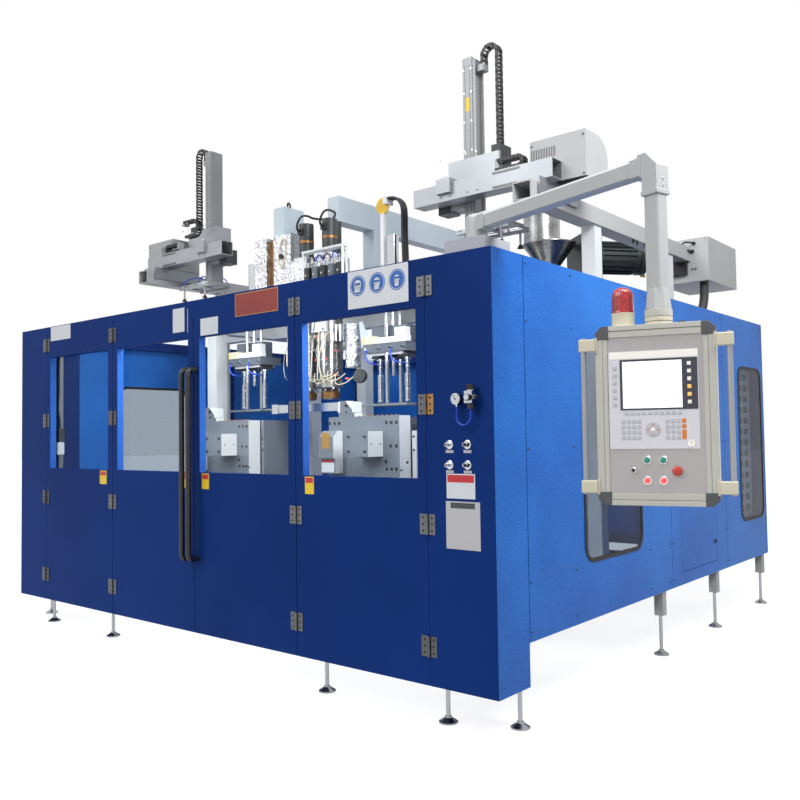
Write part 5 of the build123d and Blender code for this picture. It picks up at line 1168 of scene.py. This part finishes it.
def makeFoilTrim(front):
    # brown strip between the foil boxes, oval cord ring, edge tapes and the lifting loop
    foil = bmesh.new()
    addBox(foil, (-562, -470), (front + 40, front + 60), (2500, 3086), 2)
    ring = [(60 + 7 * cos(turn * pi / 4), 7 * sin(turn * pi / 4)) for turn in range(9)]
    oval = (around((-368, front - 4, 2956), radians(9), "Y") @ Matrix.Diagonal((0.62, 1, 1.9, 1))
            @ Matrix.Rotation(pi / 2, 4, "X"))
    addTurned(foil, (0, 0, 0), ring, 48, 1, oval)
    addFacing(foil, (-376, front - 8, 2930), [(0, 0), (20, 0), (22, 8), (0, 10)], 2, 20)
    for x in (-700, -564, -468, -274):
        addBox(foil, (x - 3, x + 3), (front - 3, front + 3), (2500, 3105), 1.5, 3)
    addPipe(foil, ((-440, -860, 3333), (-440, -860, 3372), (-425, -872, 3396), (-396, -880, 3390), (-380, -884, 3352),
                   (-378, -886, 3334)), 8, 2, 3)
    finishPiece("foilTrim", foil, "machine", [brassBrown, beaconBeige, hoseBlack, foilSilver])


def makeValveStand():
    # white shelf on four legs over the die head, with valves, servo leads and couplings
    stand = bmesh.new()
    addBoxes(stand, ((-10, 430), (-1120, -1062), (2872, 2890), 2), ((-4, 424), (-1116, -1066), (2640, 2652), 1))
    for x in (4, 416):
        for y in (-1110, -1072):
            addRod(stand, (x, y, 2440), (x, y, 2872), 11, sides=16)
    for index in range(5):
        x = 40 + 84 * index
        addBox(stand, (x - 26, x + 26), (-1116, -1070), (2652, 2760), 3, 1 + index % 2)
        addRod(stand, (x, -1093, 2760), (x, -1093, 2800), 12, finish=3)
        addRod(stand, (x, -1116, 2700), (x, -1126, 2700), 9, finish=3, sides=6)
        addPipe(stand, ((x, -1093, 2796), (x, -1093, 2834), (x + 20, -1080, 2858), (x + 46, -1064, 2820),
                        (x + 40, -1062, 2770)), 5, 4 if index % 2 else 1)
    for x in (-127, 127):
        addRod(stand, (x, -950, 2996), (x, -950, 3016), 60, bevel=1, finish=5, sides=40)
        addBox(stand, (x - 26, x + 26), (-1026, -1004), (3060, 3110), 3, 1)
        addPipe(stand, ((x, -1026, 3086), (x, -1056, 3090), (x + 30, -1076, 3140), (x + 50, -1050, 3196),
                        (x + 34, -960, 3214), (x - 6, -860, 3212), (0, -790, 3200)), 9, 1, 3)
    finishPiece("valveStand", stand, "machine", [machineWhite, handleBlack, machineGrey, chrome, hoseBlue, brassBrown])


def makeBeamClips():
    # clips under the robot beam and the yellow lug beside the motor
    clips = bmesh.new()
    for y in (300, 520, 760):
        addBoxes(clips, ((2040, 2062), (y - 40, y + 40), (2884, 2893), 2),
                 ((2044, 2058), (y - 40, y - 26), (2862, 2886), 2),
                 ((2044, 2058), (y + 26, y + 40), (2862, 2886), 2))
    addPrism(clips, [(1160, 2876), (1186, 2886), (1200, 2840), (1262, 2812), (1262, 2792), (1180, 2786)], 1694, 1706,
             "YZ", 2, 1)
    finishPiece("beamClips", clips, "machine", [handleBlack, hookYellow])


def makePanelDetails(side):
    # screws of the side panels and the slotted sheet behind the rear window
    panel = bmesh.new()
    for y in (-1812, -1330, -330, -8, 50, 990, 1076, 1134, 2098):
        for z in (470, 720, 1400, 2060, 2360):
            if not (196 < y < 1060 and z < 1950):
                for sign in (-1, 1):
                    addScrew(panel, (sign * side, y, z), 5, (sign, 0, 0), 0, 0)
    addBoxes(panel, ((2290, 2293), (1470, 2040), (760, 1996), 0, 1), ((2300, 2345), (1496, 1546), (700, 2050), 4, 2))
    for row in range(13):
        for y in (1560, 1700, 1850):
            addBox(panel, (2293, 2296), (y, y + 92), (800 + 92 * row, 852 + 92 * row), 1)
    finishPiece("panelDetails", panel, "machine", [handleBlack, machineWhite, machineGrey])


makeBoxDetails(upper["boxFront"])
makeFoilTrim(upper["foilFront"])
makeValveStand()
makeBeamClips()
makePanelDetails(upper["side"])

print("blow moulding machine: light and floor")
lights = {"areas": {"key": {"place": (4.9, -2.0, 4.9), "aim": (2.4, -0.2, 2.0), "size": 2.2, "power": 210},
                    "insideRight": {"place": (1.3, -1.86, 2.3), "aim": (0.7, -1.0, 1.7), "size": 0.45, "power": 9},
                    "insideLeft": {"place": (-0.3, -1.86, 2.3), "aim": (-0.8, -1.0, 1.7), "size": 0.45, "power": 9}},
          "suns": {"fill": {"turn": (56, 0, -28), "power": 1.65}, "top": {"turn": (14, 8, 0), "power": 1.0}}}


def makeLights(setup):
    for name, values in setup["areas"].items():
        area = bpy.data.lights.new(name, "AREA")
        area.shape = "DISK"
        area.size = values["size"]
        area.energy = values["power"]
        lamp = intoScene(name, area)
        lamp.location = values["place"]
        lamp.rotation_euler = (Vector(values["aim"]) - lamp.location).to_track_quat("-Z", "Y").to_euler()
    for name, values in setup["suns"].items():
        sun = bpy.data.lights.new(name, "SUN")
        sun.energy = values["power"]
        sun.angle = radians(35)
        intoScene(name, sun).rotation_euler = [radians(turn) for turn in values["turn"]]


def seenStrength(tree, strength):
    # what the camera, mirrors and glass see, which sheds no light
    ray = tree.nodes.new("ShaderNodeLightPath").outputs
    either = mathNode(tree, "MAXIMUM", ray["Is Camera Ray"], ray["Is Glossy Ray"])
    clear = mathNode(tree, "MAXIMUM", either, ray["Is Transmission Ray"])
    return mathNode(tree, "MULTIPLY", clear, strength)


def makeWorld(seen, lit):
    # white to the camera and in reflections, a plainer grey for the light that it sheds
    world = bpy.data.worlds.new("studio")
    world.use_nodes = True
    scene.world = world
    tree = world.node_tree
    tree.nodes.clear()
    total = mathNode(tree, "ADD", seenStrength(tree, seen - lit), lit)
    background = addNode(tree, "Background", {"Color": (1, 1, 1, 1), "Strength": total})
    addNode(tree, "OutputWorld", {"Surface": background.outputs[0]})


def makeFloor(size, glow):
    material, tree, shader = newMaterial("studioFloor")
    setInputs(tree, shader, {"Base Color": (0.36, 0.36, 0.36, 1), "Roughness": 0.8, "Specular IOR Level": 0.2,
                             "Emission Color": (1, 1, 1, 1), "Emission Strength": seenStrength(tree, glow)})
    mesh = bpy.data.meshes.new("studioFloor")
    ground = bmesh.new()
    bmesh.ops.create_grid(ground, x_segments=1, y_segments=1, size=size)
    ground.to_mesh(mesh)
    ground.free()
    mesh.materials.append(material)
    floor = intoScene("studioFloor", mesh)
    floor.location = (0, 0, -0.001)


makeLights(lights)
makeWorld(1.0, 0.29)
makeFloor(60, 0.8)

print("blow moulding machine: done")
